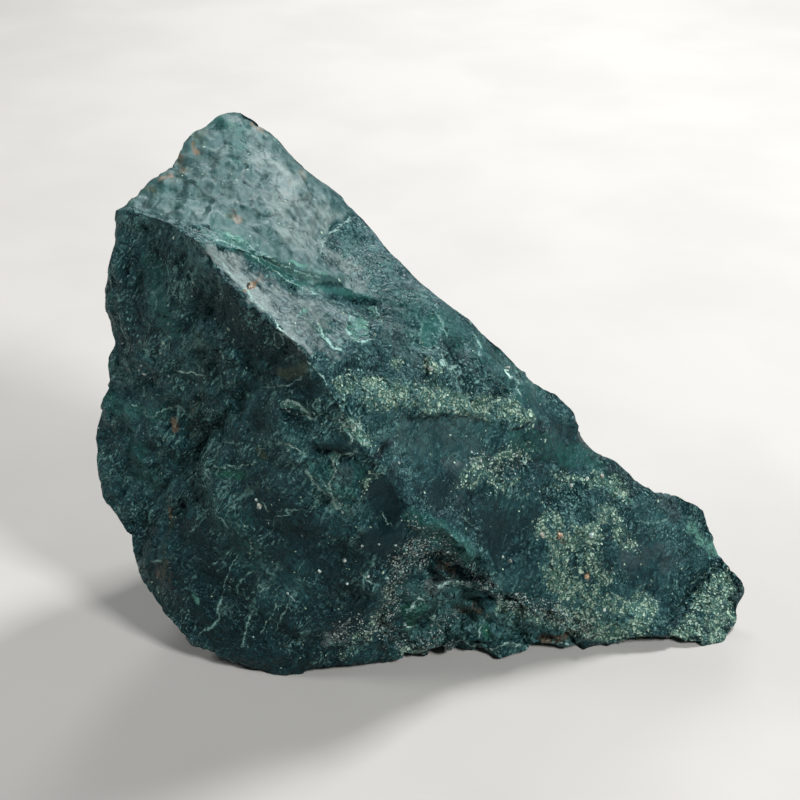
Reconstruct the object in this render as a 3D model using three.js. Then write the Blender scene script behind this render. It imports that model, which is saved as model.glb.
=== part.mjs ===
// A hand-sized piece of rough green jasper, broken on every side.
//
// The stone is described as a mason would describe it: named corners, the ridges that run from one
// corner to the next, and the fracture faces that those ridges bound. Each face is stretched over
// its ridges like a skin. It is then bowed or dished, rippled where a shock wave left its mark, and
// roughened. The stone stands on a flat patch, with X along its length, Y into its depth and Z up.

import * as THREE from 'three';
import { ImprovedNoise } from 'three/addons/math/ImprovedNoise.js';

// ---------------------------------------------------------------- driving dimensions, millimetres

const POINT_SPACING = 2.7; // distance between the points on ridges and faces
const SPLIT_OVER = 1.35 * POINT_SPACING; // a line across a face that is longer than this is halved
const MESHING_ROUNDS = 14; // rounds of halving, swapping and evening out
const PULL = 0.7; // share of the way that evening out moves a point in one round
const FOLD_LIMIT = 1.98 * Math.PI; // a swap that would fold the skin back on itself is left out
const SWELL_ROUNDS = 350; // rounds that spread a face's swell from its ridges to its middle

const RIDGE_WANDER = 0.45; // how far a ridge strays from its line
const RIDGE_WAVE = 5.5; // length of the waves in which it strays

const COARSE_WAVE = 11; // long waves of the roughness
const FINE_WAVE = 5; // short waves of the roughness
const FINE_SHARE = 0.6; // height of the short waves against the long ones
const RIDGE_ROUGHNESS = 0.2; // roughness on the ridges themselves
const EDGE_FADE = 0.3; // share of a face's swell over which ripples die out towards its ridges

// Each kind of noise is read from its own stretch of the noise field.
const WANDER_FIELDS = { x: 11.3, y: 37.7, z: 71.9 };
const COARSE_FIELD = 5.1;
const FINE_FIELD = 23.5;

// -------------------------------------------------------------------------------------- corners

const corner = {
  // The upper end
  shoulder: [-49, -8, 79],
  apex: [-34.5, -22, 79.5],
  peak: [-32.5, 26, 85],
  rimNotch: [-13, 21, 69],
  ledgeFoot: [-18.5, -10.5, 70],
  stepEnd: [-6.5, -5, 62],
  flatEnd: [-18, -13.5, 67],

  // The front
  knifeTurn: [-21.5, -26.5, 66],
  brow: [-15, -28, 56.5],
  chip: [-6.5, -28, 42.5],
  scarTurn: [-4, -28.5, 38],
  scarCorner: [6.5, -19.5, 33.5],
  bandEnd: [15, -11, 40.5],
  humpTop: [-3, -28, 32],
  humpJoin: [19, -19.5, 11],

  // The rim, from the bend down to the tip
  rimBend: [2.5, 3, 59],
  rimShoulder: [28, 0, 35.5],
  rimDip: [42, -1, 21.5],
  tipTop: [55, -2, 9],
  tipCorner: [60, -7, 4.5],

  // The lower edge and the left side
  sideElbow: [-56.5, -6, 39],
  sideNotch: [-53, -9.5, 21],
  heel: [-24, -26, 0],
  seamFoot: [-14, -25, 1.5],
  humpFoot: [30, -18, 1.5],
  tipInset: [43.5, -17.5, 2.5],
  tipFoot: [54, -16.5, 0],

  // The back
  hip: [-48, 13, 53],
  backHigh: [-27, 28, 54],
  backMid: [-2, 23, 38],
  backRight: [25, 14, 18],
  backTip: [48, 8, 7],
  heelBack: [-45, 12, 21],
  heelMid: [-24, 25, 20],

  // The patch that the stone stands on
  baseLeft: [-34, 6, 0],
  baseBack: [-19, 19, 0],
  baseMiddle: [9, 16, 0],
  baseRight: [35, 11, 0],
  baseTip: [50, 1, 0],
};

// --------------------------------------------------------------------------------------- ridges
// Each ridge names the corner it leaves, the points it bends at and the corner it reaches.

const ridge = {
  // The upper end
  crest: ['shoulder', [-45.5, -11, 80], [-41.5, -14.5, 80.5], [-38, -18.5, 80], 'apex'],
  topLeft: ['shoulder', [-48, -5, 80], [-46, 0, 80], [-43.5, 5, 81.5], [-41.5, 10, 83],
    [-40, 14, 84.5], [-37.5, 19, 85], [-35, 23, 86], 'peak'],
  topRight: ['peak', [-29, 27, 81.5], [-26, 26, 79], [-22, 24.5, 75.5], [-17, 23, 72], 'rimNotch'],
  ledge: ['ledgeFoot', [-17.5, -1, 69.5], [-17, 6, 69], [-14, 15, 69], 'rimNotch'],
  stepTopLeft: ['apex', [-32, -21, 79], [-29, -19.2, 77.5], [-26, -17, 75.7], [-22.5, -14, 73],
    'ledgeFoot'],
  stepTopRight: ['ledgeFoot', [-14.5, -8, 66.8], [-10.5, -6.3, 64.5], 'stepEnd'],
  stepFootLeft: ['apex', [-32.3, -22, 78], [-29, -20, 75.5], [-25.5, -18, 73], [-21.5, -15.5, 69.7],
    'flatEnd'],
  stepFootRight: ['flatEnd', [-14.5, -10, 64.5], [-10.5, -7.8, 62.5], 'stepEnd'],
  stepTail: ['stepEnd', [-2, -1, 60.5], 'rimBend'],
  flatEdge: ['knifeTurn', [-19.5, -21, 67.5], 'flatEnd'],

  // The knife edge, the brow and the scar below them
  knifeUpper: ['apex', [-31.5, -23, 74.5], [-28.5, -24.2, 71.5], [-25, -25.5, 68.5], 'knifeTurn'],
  knifeLower: ['knifeTurn', [-19.5, -27, 64], [-17, -27.5, 60.5], 'brow'],
  browFall: ['brow', [-12.5, -28.5, 53], [-11, -28.5, 49.5], [-8.5, -28.5, 46], 'chip'],
  scarUpper: ['chip', 'scarTurn'],
  scarLower: ['scarTurn', [-3, -28.5, 35], 'humpTop'],
  scarFloor: ['scarTurn', [-0.5, -26.5, 36], [3, -23, 34], 'scarCorner'],
  scarRight: ['scarCorner', [10, -16, 35], [14, -12.5, 37.5], 'bandEnd'],
  band: ['brow', [-12, -26.5, 55], [-7, -24, 52], [-3.5, -21.5, 49], [1, -18.5, 46.5],
    [7.5, -14, 45], [11.5, -12, 42.5], 'bandEnd'],
  bandTail: ['bandEnd', [21, -7, 38.5], [25.5, -2, 34.5], 'rimShoulder'],
  humpCrest: ['humpTop', [1.5, -27.5, 32.5], [6, -26.5, 28], [9.5, -24, 20.5], [13.5, -21.5, 15],
    'humpJoin'],
  humpBack: ['scarCorner', [10, -20.5, 26], [14, -19.5, 17.5], 'humpJoin'],
  humpTail: ['humpJoin', [24.5, -18.5, 7], 'humpFoot'],
  seam: ['humpTop', [-4, -28, 26], [-6.5, -27.5, 19.5], [-10, -26, 12], [-12.5, -25, 5.5],
    'seamFoot'],

  // The rim, from the notch down to the tip
  rimUpper: ['rimNotch', [-11, 19.5, 67.5], [-9, 17, 66], [-6.5, 13.5, 64], [-3, 10, 61.5],
    [0, 6, 60], 'rimBend'],
  rimMiddle: ['rimBend', [7.5, 2.5, 55], [13.5, 2, 49.5], [20, 1.5, 43], [23.5, 1, 41],
    [26, 0.5, 38.5], 'rimShoulder'],
  rimLower: ['rimShoulder', [27.5, -0.5, 33.5], [30.5, -0.5, 30.5], [35.5, -1, 27.5], 'rimDip'],
  rimTip: ['rimDip', [44, -0.5, 20.5], [47.5, 0, 20.5], [51.5, 0, 17.5], [53.5, -0.5, 13], 'tipTop'],
  rimEnd: ['tipTop', [57, -3.5, 7], [59.5, -5, 5], 'tipCorner'],
  tipSide: ['tipCorner', [58.5, -9, 2.5], [56.5, -13, 1], 'tipFoot'],
  tipCrease: ['tipTop', [52, -5, 6], [47.5, -9.5, 3.5], [45, -14, 2.5], 'tipInset'],

  // The left side and the lower edge
  sideUpper: ['shoulder', [-50, -8, 75.5], [-51.5, -7.5, 70], [-53, -6.5, 63], [-51.5, -7, 59],
    [-53, -7, 52], [-54, -6.5, 46], 'sideElbow'],
  sideLower: ['sideElbow', [-57, -6, 36], [-56.5, -7, 31], [-55.5, -8.5, 24], 'sideNotch'],
  crease: ['sideNotch', [-49, -9.5, 25], [-42.5, -11, 33.5], [-37.5, -13.5, 40],
    [-26, -22, 57], 'knifeTurn'],
  footLeft: ['sideNotch', [-51.5, -12, 16.5], [-49.5, -15, 12], [-45.5, -19.5, 8],
    [-40.5, -22, 4.5], [-35, -24, 2.5], [-30, -25, 1], 'heel'],
  footHeel: ['heel', [-19.5, -26, 1], 'seamFoot'],
  footHump: ['seamFoot', [-9, -24, 1.5], [-1, -21.5, 1.5], [6.5, -21, 3], [13, -20.5, 1.2],
    [21, -19.5, 1.5], 'humpFoot'],
  footArm: ['humpFoot', [36, -18, 2], [39.5, -18, 3], 'tipInset'],
  footTip: ['tipInset', [48, -17.5, 1.2], 'tipFoot'],

  // The back
  sideBack: ['sideElbow', [-54, 3, 46], 'hip'],
  hipLine: ['hip', [-40, 20, 56], 'backHigh'],
  hipDrop: ['hip', [-49, 14, 40], 'heelBack'],
  spine: ['peak', [-29, 28.5, 72], 'backHigh'],
  backSpan: ['backHigh', [-14, 27, 48], 'backMid'],
  backRise: ['rimBend', [1, 13, 50], 'backMid'],
  backShelf: ['backMid', [12, 19, 29], 'backRight'],
  backDrop: ['backHigh', [-27, 28.5, 38], 'heelMid'],
  armRise: ['rimShoulder', [28, 8, 27], 'backRight'],
  armBack: ['backRight', [38, 11.5, 12], 'backTip'],
  tipBack: ['backTip', [53, 3, 9], 'tipTop'],
  notchBack: ['sideNotch', [-51, 2, 19], 'heelBack'],
  heelLine: ['heelBack', [-36, 21, 22], 'heelMid'],

  // Down to the base, and around it
  heelDrop: ['heelBack', [-40, 9, 8], 'baseLeft'],
  middleDrop: ['heelMid', [-22, 23, 8], 'baseBack'],
  backFall: ['backMid', [4, 21, 18], 'baseMiddle'],
  rightDrop: ['backRight', [31, 13.5, 8], 'baseRight'],
  tipDrop: ['backTip', 'baseTip'],
  baseFront: ['heel', [-16, -21.5, 0], [0, -18, 0], [20, -16, 0], [40, -14.5, 0], 'tipFoot'],
  baseSide: ['baseLeft', [-31, -8, 0], [-29, -18, 0], 'heel'],
  baseRearLeft: ['baseLeft', [-27, 14, 0], 'baseBack'],
  baseRearMiddle: ['baseBack', [-5, 18, 0], 'baseMiddle'],
  baseRearRight: ['baseMiddle', [22, 14.5, 0], 'baseRight'],
  baseRearTip: ['baseRight', [43, 7, 0], 'baseTip'],
  baseEnd: ['baseTip', [53, -8, 0], 'tipFoot'],
};

// ---------------------------------------------------------------------------------------- faces
// Each face lists its ridges anticlockwise as seen from outside; a minus sign runs one backwards.
// bow swells the middle of a face out, or dishes it in. rough is the height of its roughness.
// ripple spreads rings of the given height and spacing from the point where a blow landed.

const face = {
  darkUpper: {
    ridges: ['sideUpper', 'sideLower', 'crease', '-knifeUpper', '-crest'],
    bow: 1.2, rough: 1,
  },
  darkLower: {
    ridges: ['-crease', 'footLeft', 'footHeel', '-seam', '-scarLower', '-scarUpper', '-browFall',
      '-knifeLower'],
    bow: 2.2, rough: 0.8, ripple: { from: [-12, -28, 50], spacing: 9, height: 0.35 },
  },
  top: { ridges: ['crest', 'stepTopLeft', 'ledge', '-topRight', '-topLeft'], bow: 1.8, rough: 0.8 },
  lowShelf: { ridges: ['stepTopRight', 'stepTail', '-rimUpper', '-ledge'], bow: -0.8, rough: 0.4 },
  step: {
    ridges: ['stepFootLeft', 'stepFootRight', '-stepTopRight', '-stepTopLeft'],
    bow: -0.3, rough: 0.2,
  },
  flat: { ridges: ['knifeUpper', 'flatEdge', '-stepFootLeft'], bow: -0.4, rough: 0.2 },
  shellSlope: {
    ridges: ['-flatEdge', 'knifeLower', 'band', 'bandTail', '-rimMiddle', '-stepTail',
      '-stepFootRight'],
    bow: 2.4, rough: 0.55, ripple: { from: [-15, -12, 68], spacing: 10, height: 0.25 },
  },
  scar: {
    ridges: ['browFall', 'scarUpper', 'scarFloor', 'scarRight', '-band'],
    bow: -0.9, rough: 0.25, ripple: { from: [-8, -28, 54], spacing: 7, height: 0.2 },
  },
  humpBrow: { ridges: ['scarLower', 'humpCrest', '-humpBack', '-scarFloor'], bow: 0.4, rough: 0.5 },
  arm: {
    ridges: ['humpBack', 'humpTail', 'footArm', '-tipCrease', '-rimTip', '-rimLower', '-bandTail',
      '-scarRight'],
    bow: 1.2, rough: 0.55,
  },
  brokenFoot: { ridges: ['seam', 'footHump', '-humpTail', '-humpCrest'], bow: -2.2, rough: 0.9 },
  tip: { ridges: ['tipCrease', 'footTip', '-tipSide', '-rimEnd'], bow: 0.8, rough: 0.5 },

  backShoulder: {
    ridges: ['topLeft', 'spine', '-hipLine', '-sideBack', '-sideUpper'],
    bow: 1.2, rough: 0.7,
  },
  backSide: { ridges: ['sideBack', 'hipDrop', '-notchBack', '-sideLower'], bow: 1, rough: 0.7 },
  backCheek: {
    ridges: ['hipLine', 'backDrop', '-heelLine', '-hipDrop'],
    bow: -1.2, rough: 0.5, ripple: { from: [-28, 28, 56], spacing: 8, height: 0.3 },
  },
  backSlope: {
    ridges: ['topRight', 'rimUpper', 'backRise', '-backSpan', '-spine'],
    bow: -1.4, rough: 0.4, ripple: { from: [-30, 27, 84], spacing: 9, height: 0.35 },
  },
  backWall: {
    ridges: ['backSpan', 'backFall', '-baseRearMiddle', '-middleDrop', '-backDrop'],
    bow: 1.6, rough: 0.8,
  },
  backArm: { ridges: ['rimMiddle', 'armRise', '-backShelf', '-backRise'], bow: -1, rough: 0.5 },
  backFoot: {
    ridges: ['backShelf', 'rightDrop', '-baseRearRight', '-backFall'],
    bow: 1, rough: 0.7,
  },
  armSlope: {
    ridges: ['rimLower', 'rimTip', '-tipBack', '-armBack', '-armRise'],
    bow: 0.6, rough: 0.6,
  },
  armFoot: { ridges: ['armBack', 'tipDrop', '-baseRearTip', '-rightDrop'], bow: 0.6, rough: 0.5 },
  tipFace: { ridges: ['tipSide', '-baseEnd', '-tipDrop', 'tipBack', 'rimEnd'], bow: 0.5, rough: 0.5 },
  heelFace: { ridges: ['heelLine', 'middleDrop', '-baseRearLeft', '-heelDrop'], bow: 0.8, rough: 0.6 },

  underLeft: { ridges: ['-footLeft', 'notchBack', 'heelDrop', 'baseSide'], bow: 0.8, rough: 0.6 },
  underFront: {
    ridges: ['baseFront', '-footTip', '-footArm', '-footHump', '-footHeel'],
    bow: 0, rough: 0.2,
  },
  base: {
    ridges: ['-baseFront', '-baseSide', 'baseRearLeft', 'baseRearMiddle', 'baseRearRight',
      'baseRearTip', 'baseEnd'],
    bow: 0, rough: 0, level: true,
  },
};

// Swellings and hollows that are smaller than a face: where they are, how far they reach and how
// high they stand. A negative height is a hollow.

const lumps = [
  // The dark face
  { at: [-47, -12, 35], reach: 7, height: 2 }, // boss above the crease
  { at: [-45, -11, 60], reach: 7, height: 1.2 }, // swelling under the shoulder
  { at: [-36, -18, 68], reach: 6, height: -1 }, // hollow under the crest
  { at: [-33, -18, 52], reach: 5, height: 0.9 }, // swelling above the crease
  { at: [-50, -9, 46], reach: 4, height: -1.2 }, // pit in the side
  { at: [-43, -17, 17], reach: 6, height: 1.1 }, // knob over the heel
  { at: [-33, -23, 16], reach: 6, height: -0.9 }, // hollow over the heel
  { at: [-23.5, -24.5, 38.5], reach: 7, height: 1 }, // swelling in the middle
  { at: [-21, -26, 12], reach: 6, height: 0.9 }, // swelling low in the middle
  { at: [-15, -26.5, 46], reach: 3.5, height: -1.6 }, // undercut beside the brow
  { at: [-7.5, -27, 35.5], reach: 4.5, height: -1.3 }, // hollow scar beside the hump

  // The top
  { at: [-34, 8, 81], reach: 4, height: 1 }, // knob in the middle
  { at: [-41, 8, 82], reach: 4, height: -0.8 }, // dip near the edge
  { at: [-26, 22, 79], reach: 4.5, height: 0.9 }, // knob near the peak
  { at: [-21.5, 13.5, 75], reach: 4, height: 0.8 }, // knob over the ledge
  { at: [-27, -4, 77], reach: 4.5, height: 0.8 }, // knob over the step
  { at: [-44, -4, 80], reach: 5, height: -0.7 }, // dip behind the crest
  { at: [-12.5, 12, 66], reach: 3.5, height: -2 }, // pocket below the ledge

  // The slope below the step
  { at: [-11, -16, 62], reach: 3.5, height: 0.9 }, // raised shell
  { at: [1, -8.5, 57], reach: 4, height: -1.1 }, // shell-shaped chip
  { at: [2.5, -15, 49.5], reach: 5, height: 0.8 }, // swelling over the band
  { at: [16, -5, 45], reach: 5, height: 0.9 }, // swelling near the rim

  // The broken foot
  { at: [2, -24, 23.5], reach: 3.5, height: -2.6 }, // recess under the hump
  { at: [7, -23.5, 18.5], reach: 3, height: -2.2 }, // recess under the hump
  { at: [4.5, -21.5, 15], reach: 2.6, height: 1.4 }, // lip of the recess
  { at: [8, -21.5, 10.5], reach: 3, height: -1.6 }, // pocket
  { at: [-2, -24, 12.5], reach: 3.2, height: 1.9 }, // block
  { at: [12, -20, 8], reach: 2.8, height: 1.3 }, // block
  { at: [1.5, -21, 4.5], reach: 2.8, height: 1.2 }, // lip over the edge
  { at: [-7, -24.5, 8], reach: 2.8, height: 1.2 }, // block
  { at: [17.5, -19.5, 8.5], reach: 2.6, height: 1 }, // block
  { at: [23.5, -18.5, 3.5], reach: 2.4, height: -1 }, // pocket

  // The arm
  { at: [15, -17.5, 24], reach: 6, height: -1.2 }, // smooth hollow beside the hump
  { at: [24, -9.5, 30], reach: 5, height: -0.9 }, // hollow under the rim
  { at: [31.5, -13, 15.5], reach: 6, height: 1.1 }, // swelling
  { at: [39, -6, 19.5], reach: 4, height: 0.9 }, // knob under the rim
  { at: [47, -7, 9], reach: 4, height: 0.8 }, // swelling before the tip
];

// ------------------------------------------------------------------------------------- ridgework

const noise = new ImprovedNoise();

/** Smooth noise between about -1 and 1 at a point, in waves of the given length. */
function noiseAt(point, wave, field) {
  return noise.noise(point.x / wave + field, point.y / wave - field, point.z / wave + field);
}

/** Move a point of a ridge off its line. A point on the base stays level. */
function wander(point) {
  const shift = new THREE.Vector3(
    noiseAt(point, RIDGE_WAVE, WANDER_FIELDS.x),
    noiseAt(point, RIDGE_WAVE, WANDER_FIELDS.y),
    point.z === 0 ? 0 : noiseAt(point, RIDGE_WAVE, WANDER_FIELDS.z),
  );
  return point.clone().addScaledVector(shift, RIDGE_WANDER);
}

/** Every corner as one shared point, so that the ridges that meet there meet exactly. */
const cornerPoints = new Map();
for (const [name, place] of Object.entries(corner)) {
  cornerPoints.set(name, wander(new THREE.Vector3(...place)));
}

/** The shared points along one ridge, from its first corner to its last. */
function layRidge(stops) {
  const places = stops.map((stop) => new THREE.Vector3(...(corner[stop] ?? stop)));
  const line = new THREE.CatmullRomCurve3(places, false, 'centripetal');
  const pieces = Math.max(1, Math.round(line.getLength() / POINT_SPACING));
  const inner = line.getSpacedPoints(pieces).slice(1, -1);
  return [cornerPoints.get(stops[0]), ...inner.map(wander), cornerPoints.get(stops.at(-1))];
}

const ridgePoints = new Map();
for (const [name, stops] of Object.entries(ridge)) {
  ridgePoints.set(name, layRidge(stops));
}

/** The closed loop of points around a face. */
function outlineOf(ridgeNames) {
  const outline = [];
  for (const name of ridgeNames) {
    const backwards = name.startsWith('-');
    const points = ridgePoints.get(backwards ? name.slice(1) : name);
    outline.push(...(backwards ? points.toReversed() : points).slice(0, -1));
  }
  return outline;
}

// ------------------------------------------------------------------------------ skins over ridges

/** The direction in which a loop of points faces, by Newell's sum. */
function loopNormal(outline) {
  const normal = new THREE.Vector3();
  outline.forEach((a, i) => {
    const b = outline[(i + 1) % outline.length];
    normal.x += (a.y - b.y) * (a.z + b.z);
    normal.y += (a.z - b.z) * (a.x + b.x);
    normal.z += (a.x - b.x) * (a.y + b.y);
  });
  return normal.normalize();
}

/** First triangles across a loop, with no points but its own. */
function firstTriangles(outline) {
  const toPlane = new THREE.Quaternion().setFromUnitVectors(
    loopNormal(outline),
    new THREE.Vector3(0, 0, 1),
  );
  const flat = outline.map((point) => {
    const turned = point.clone().applyQuaternion(toPlane);
    return new THREE.Vector2(turned.x, turned.y);
  });
  return THREE.ShapeUtils.triangulateShape(flat, []);
}

/** One name for the line between two points, whichever comes first. */
function lineKey(a, b) {
  return a < b ? `${a} ${b}` : `${b} ${a}`;
}

/** The lines that two triangles share: their ends, the triangles, and the corners facing them. */
function sharedLines(triangles) {
  const lines = new Map();
  triangles.forEach((triangle, index) => {
    for (let side = 0; side < 3; side += 1) {
      const from = triangle[side];
      const to = triangle[(side + 1) % 3];
      const key = lineKey(from, to);
      const use = { index, from, to, opposite: triangle[(side + 2) % 3] };
      lines.set(key, [...(lines.get(key) ?? []), use]);
    }
  });
  return [...lines.values()].filter((uses) => uses.length === 2);
}

/** Halve the long lines inside a face, the longest first. */
function halveLongLines(points, triangles) {
  const length = ([use]) => points[use.from].distanceTo(points[use.to]);
  const long = sharedLines(triangles).filter((line) => length(line) > SPLIT_OVER);
  long.sort((a, b) => length(b) - length(a));
  const changed = new Set();
  for (const [one, two] of long) {
    if (changed.has(one.index) || changed.has(two.index)) continue;
    changed.add(one.index).add(two.index);
    const middle = points.length;
    points.push(points[one.from].clone().lerp(points[one.to], 0.5));
    triangles[one.index] = [one.from, middle, one.opposite];
    triangles[two.index] = [two.from, middle, two.opposite];
    triangles.push([middle, one.to, one.opposite], [middle, two.to, two.opposite]);
  }
}

/** The angle at the first point of a triangle. */
function angleAt(apex, a, b) {
  return a.clone().sub(apex).angleTo(b.clone().sub(apex));
}

/** Swap the lines inside a face that leave thin triangles on both sides of them. */
function swapThinLines(points, triangles) {
  const lines = sharedLines(triangles);
  const joined = new Set(lines.map(([use]) => lineKey(use.from, use.to)));
  const changed = new Set();
  for (const [one, two] of lines) {
    if (changed.has(one.index) || changed.has(two.index)) continue;
    const [a, b] = [points[one.from], points[one.to]];
    const [c, d] = [points[one.opposite], points[two.opposite]];
    const isThin = angleAt(c, a, b) + angleAt(d, a, b) > Math.PI + 1e-6;
    const isNew = !joined.has(lineKey(one.opposite, two.opposite));
    const folds = angleAt(a, c, d) + angleAt(b, c, d) > FOLD_LIMIT;
    if (!isThin || !isNew || folds) continue;
    changed.add(one.index).add(two.index);
    triangles[one.index] = [one.opposite, one.from, two.opposite];
    triangles[two.index] = [two.opposite, one.to, one.opposite];
  }
}

/** For each point, the points that it shares a line with. */
function neighboursOf(count, triangles) {
  const neighbours = Array.from({ length: count }, () => new Set());
  for (const [a, b, c] of triangles) {
    neighbours[a].add(b).add(c);
    neighbours[b].add(c).add(a);
    neighbours[c].add(a).add(b);
  }
  return neighbours;
}

/** Draw each free point to the middle of its neighbours, which pulls the skin taut. */
function evenOut(points, triangles, fixedCount) {
  const neighbours = neighboursOf(points.length, triangles);
  for (let i = fixedCount; i < points.length; i += 1) {
    const middle = new THREE.Vector3();
    for (const j of neighbours[i]) middle.add(points[j]);
    points[i].lerp(middle.divideScalar(neighbours[i].size), PULL);
  }
}

/** How far each point of a face swells, from 0 on its ridges to 1 at its fullest point. */
function swellOf(points, triangles, fixedCount) {
  const neighbours = neighboursOf(points.length, triangles);
  const swell = new Float64Array(points.length);
  for (let round = 0; round < SWELL_ROUNDS; round += 1) {
    for (let i = fixedCount; i < points.length; i += 1) {
      let sum = 0;
      for (const j of neighbours[i]) sum += swell[j];
      swell[i] = sum / neighbours[i].size + 1;
    }
  }
  const fullest = Math.max(1, ...swell);
  return swell.map((value) => value / fullest);
}

/** The skin of one face: its points, those of the outline first, its triangles and its swell. */
function stretchSkin({ ridges }) {
  const points = outlineOf(ridges);
  const outlineCount = points.length;
  const triangles = firstTriangles(points);
  for (let round = 0; round < MESHING_ROUNDS; round += 1) {
    halveLongLines(points, triangles);
    swapThinLines(points, triangles);
    evenOut(points, triangles, outlineCount);
  }
  return { points, outlineCount, triangles, swell: swellOf(points, triangles, outlineCount) };
}

// ----------------------------------------------------------------------------------- the relief

/** Roughness of a broken surface: long waves with shorter ones on them. */
function roughnessAt(point) {
  const coarse = noiseAt(point, COARSE_WAVE, COARSE_FIELD);
  return coarse + FINE_SHARE * noiseAt(point, FINE_WAVE, FINE_FIELD);
}

/** The height of the swellings and hollows at a point. */
function lumpHeight(point) {
  let height = 0;
  for (const lump of lumps) {
    const distance = point.distanceTo(new THREE.Vector3(...lump.at)) / lump.reach;
    height += lump.height * Math.exp(-distance * distance);
  }
  return height;
}

/** How far a point inside a face stands out of its skin. */
function reliefHeight(point, { bow, rough, ripple, level }, swell) {
  if (level) return 0;
  let height = bow * swell + rough * roughnessAt(point) + lumpHeight(point);
  if (ripple) {
    const distance = point.distanceTo(new THREE.Vector3(...ripple.from));
    const fade = THREE.MathUtils.smoothstep(swell, 0, EDGE_FADE);
    height += fade * ripple.height * Math.sin((2 * Math.PI * distance) / ripple.spacing);
  }
  return height;
}

/** How far a point on a ridge stands out. */
function ridgeHeight(point) {
  return point.z === 0 ? 0 : RIDGE_ROUGHNESS * roughnessAt(point) + lumpHeight(point);
}

// ------------------------------------------------------------------------------------ the stone

/** All faces sewn together along their ridges, with their relief. */
function buildStone() {
  const points = [];
  const heights = [];
  const indices = [];
  const ridgeIndex = new Map();
  for (const shape of Object.values(face)) {
    const skin = stretchSkin(shape);
    const places = skin.points.map((point, i) => {
      if (ridgeIndex.has(point)) return ridgeIndex.get(point);
      const onRidge = i < skin.outlineCount;
      if (onRidge) ridgeIndex.set(point, points.length);
      heights.push(onRidge ? ridgeHeight(point) : reliefHeight(point, shape, skin.swell[i]));
      return points.push(point.clone()) - 1;
    });
    for (const triangle of skin.triangles) indices.push(...triangle.map((i) => places[i]));
  }

  const geometry = new THREE.BufferGeometry().setFromPoints(points).setIndex(indices);
  geometry.computeVertexNormals();
  const position = geometry.getAttribute('position');
  const normal = geometry.getAttribute('normal');
  for (let i = 0; i < position.count; i += 1) {
    const out = new THREE.Vector3().fromBufferAttribute(normal, i);
    const place = points[i].clone().addScaledVector(out, heights[i]);
    position.setXYZ(i, place.x, place.y, Math.max(place.z, 0));
  }
  geometry.computeBoundingBox();
  const middle = geometry.boundingBox.getCenter(new THREE.Vector3());
  geometry.translate(-middle.x, -middle.y, -geometry.boundingBox.min.z);
  geometry.computeVertexNormals();
  return geometry;
}

const jasperGreen = new THREE.MeshStandardMaterial({
  color: 0x24403f,
  roughness: 0.55,
  metalness: 0,
});

const stone = new THREE.Mesh(buildStone(), jasperGreen);
stone.name = 'rough_jasper';

const part = new THREE.Group();
part.add(stone);

export default part;
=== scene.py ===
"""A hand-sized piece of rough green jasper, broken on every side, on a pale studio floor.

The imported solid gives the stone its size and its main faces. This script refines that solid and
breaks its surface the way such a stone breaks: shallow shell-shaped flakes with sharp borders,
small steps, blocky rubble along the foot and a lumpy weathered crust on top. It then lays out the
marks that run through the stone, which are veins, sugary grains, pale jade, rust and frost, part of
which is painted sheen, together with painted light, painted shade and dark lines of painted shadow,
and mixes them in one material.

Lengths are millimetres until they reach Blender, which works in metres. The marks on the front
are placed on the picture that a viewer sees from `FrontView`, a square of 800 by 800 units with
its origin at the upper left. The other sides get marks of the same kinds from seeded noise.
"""

from __future__ import annotations

import logging
import math
from dataclasses import dataclass, field
from enum import Enum

import bmesh
import bpy
import numpy as np
from mathutils import Matrix, Vector, noise


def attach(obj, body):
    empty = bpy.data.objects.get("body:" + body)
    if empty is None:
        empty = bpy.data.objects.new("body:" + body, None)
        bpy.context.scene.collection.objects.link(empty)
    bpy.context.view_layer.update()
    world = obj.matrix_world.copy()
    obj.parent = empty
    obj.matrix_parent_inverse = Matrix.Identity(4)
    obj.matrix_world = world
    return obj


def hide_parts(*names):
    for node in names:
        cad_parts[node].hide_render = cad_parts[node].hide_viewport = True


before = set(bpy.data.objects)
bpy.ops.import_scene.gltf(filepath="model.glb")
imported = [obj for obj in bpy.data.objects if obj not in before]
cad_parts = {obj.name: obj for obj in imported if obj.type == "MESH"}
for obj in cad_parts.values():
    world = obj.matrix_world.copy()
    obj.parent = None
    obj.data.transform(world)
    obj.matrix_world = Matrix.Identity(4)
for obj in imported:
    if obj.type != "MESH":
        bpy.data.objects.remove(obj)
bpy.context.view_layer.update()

log = logging.getLogger("rough_jasper")

MM = 0.001  # one millimetre in metres
NOISE_SEED = 3  # sets the noise that points in all directions, which follows the clock without it
Triple = tuple[float, float, float]
Colour = Triple  # red, green and blue, linear
Pair = tuple[float, float]
Point = Pair  # a place on the picture
Line = tuple[Point, ...]


class Mark(Enum):
    """What can be laid on the stone. The first group is relief, the second colour, part of which is
    painted light and shade: painted shade darkens, painted light brightens and the pale frost is partly
    painted sheen.
    """

    SMOOTH = "smooth"
    LUMPY = "lumpy"
    BLOCKY = "blocky"
    SCALY = "scaly"

    GRAIN = "grain"
    # a pale frosted coating, partly painted sheen where faces catch the lamps
    FROST_AND_SHEEN = "frost_and_sheen"
    RUST = "rust"
    JADE = "jade"
    TEAL = "teal"
    EMERALD = "emerald"
    OLIVE = "olive"
    VIOLET = "violet"
    # painted shade: darkening that stands in for shadow in recesses, in pits, under ledges and on faces
    # turned from the lamps
    PAINTED_SHADE = "painted_shade"
    # painted light: brightening that stands in for light falling on faces turned to the lamps
    LIGHT = "light"
    SALT = "salt"


class Stripe(Enum):
    """The thin lines that can be drawn on the stone: pale veins, and dark lines along cracks, most of
    which are painted shadow in creases, pits and under steps.
    """

    VEIN = "vein"
    CRACK_AND_SHADOW = "crack_and_shadow"


# ---- the front


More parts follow.
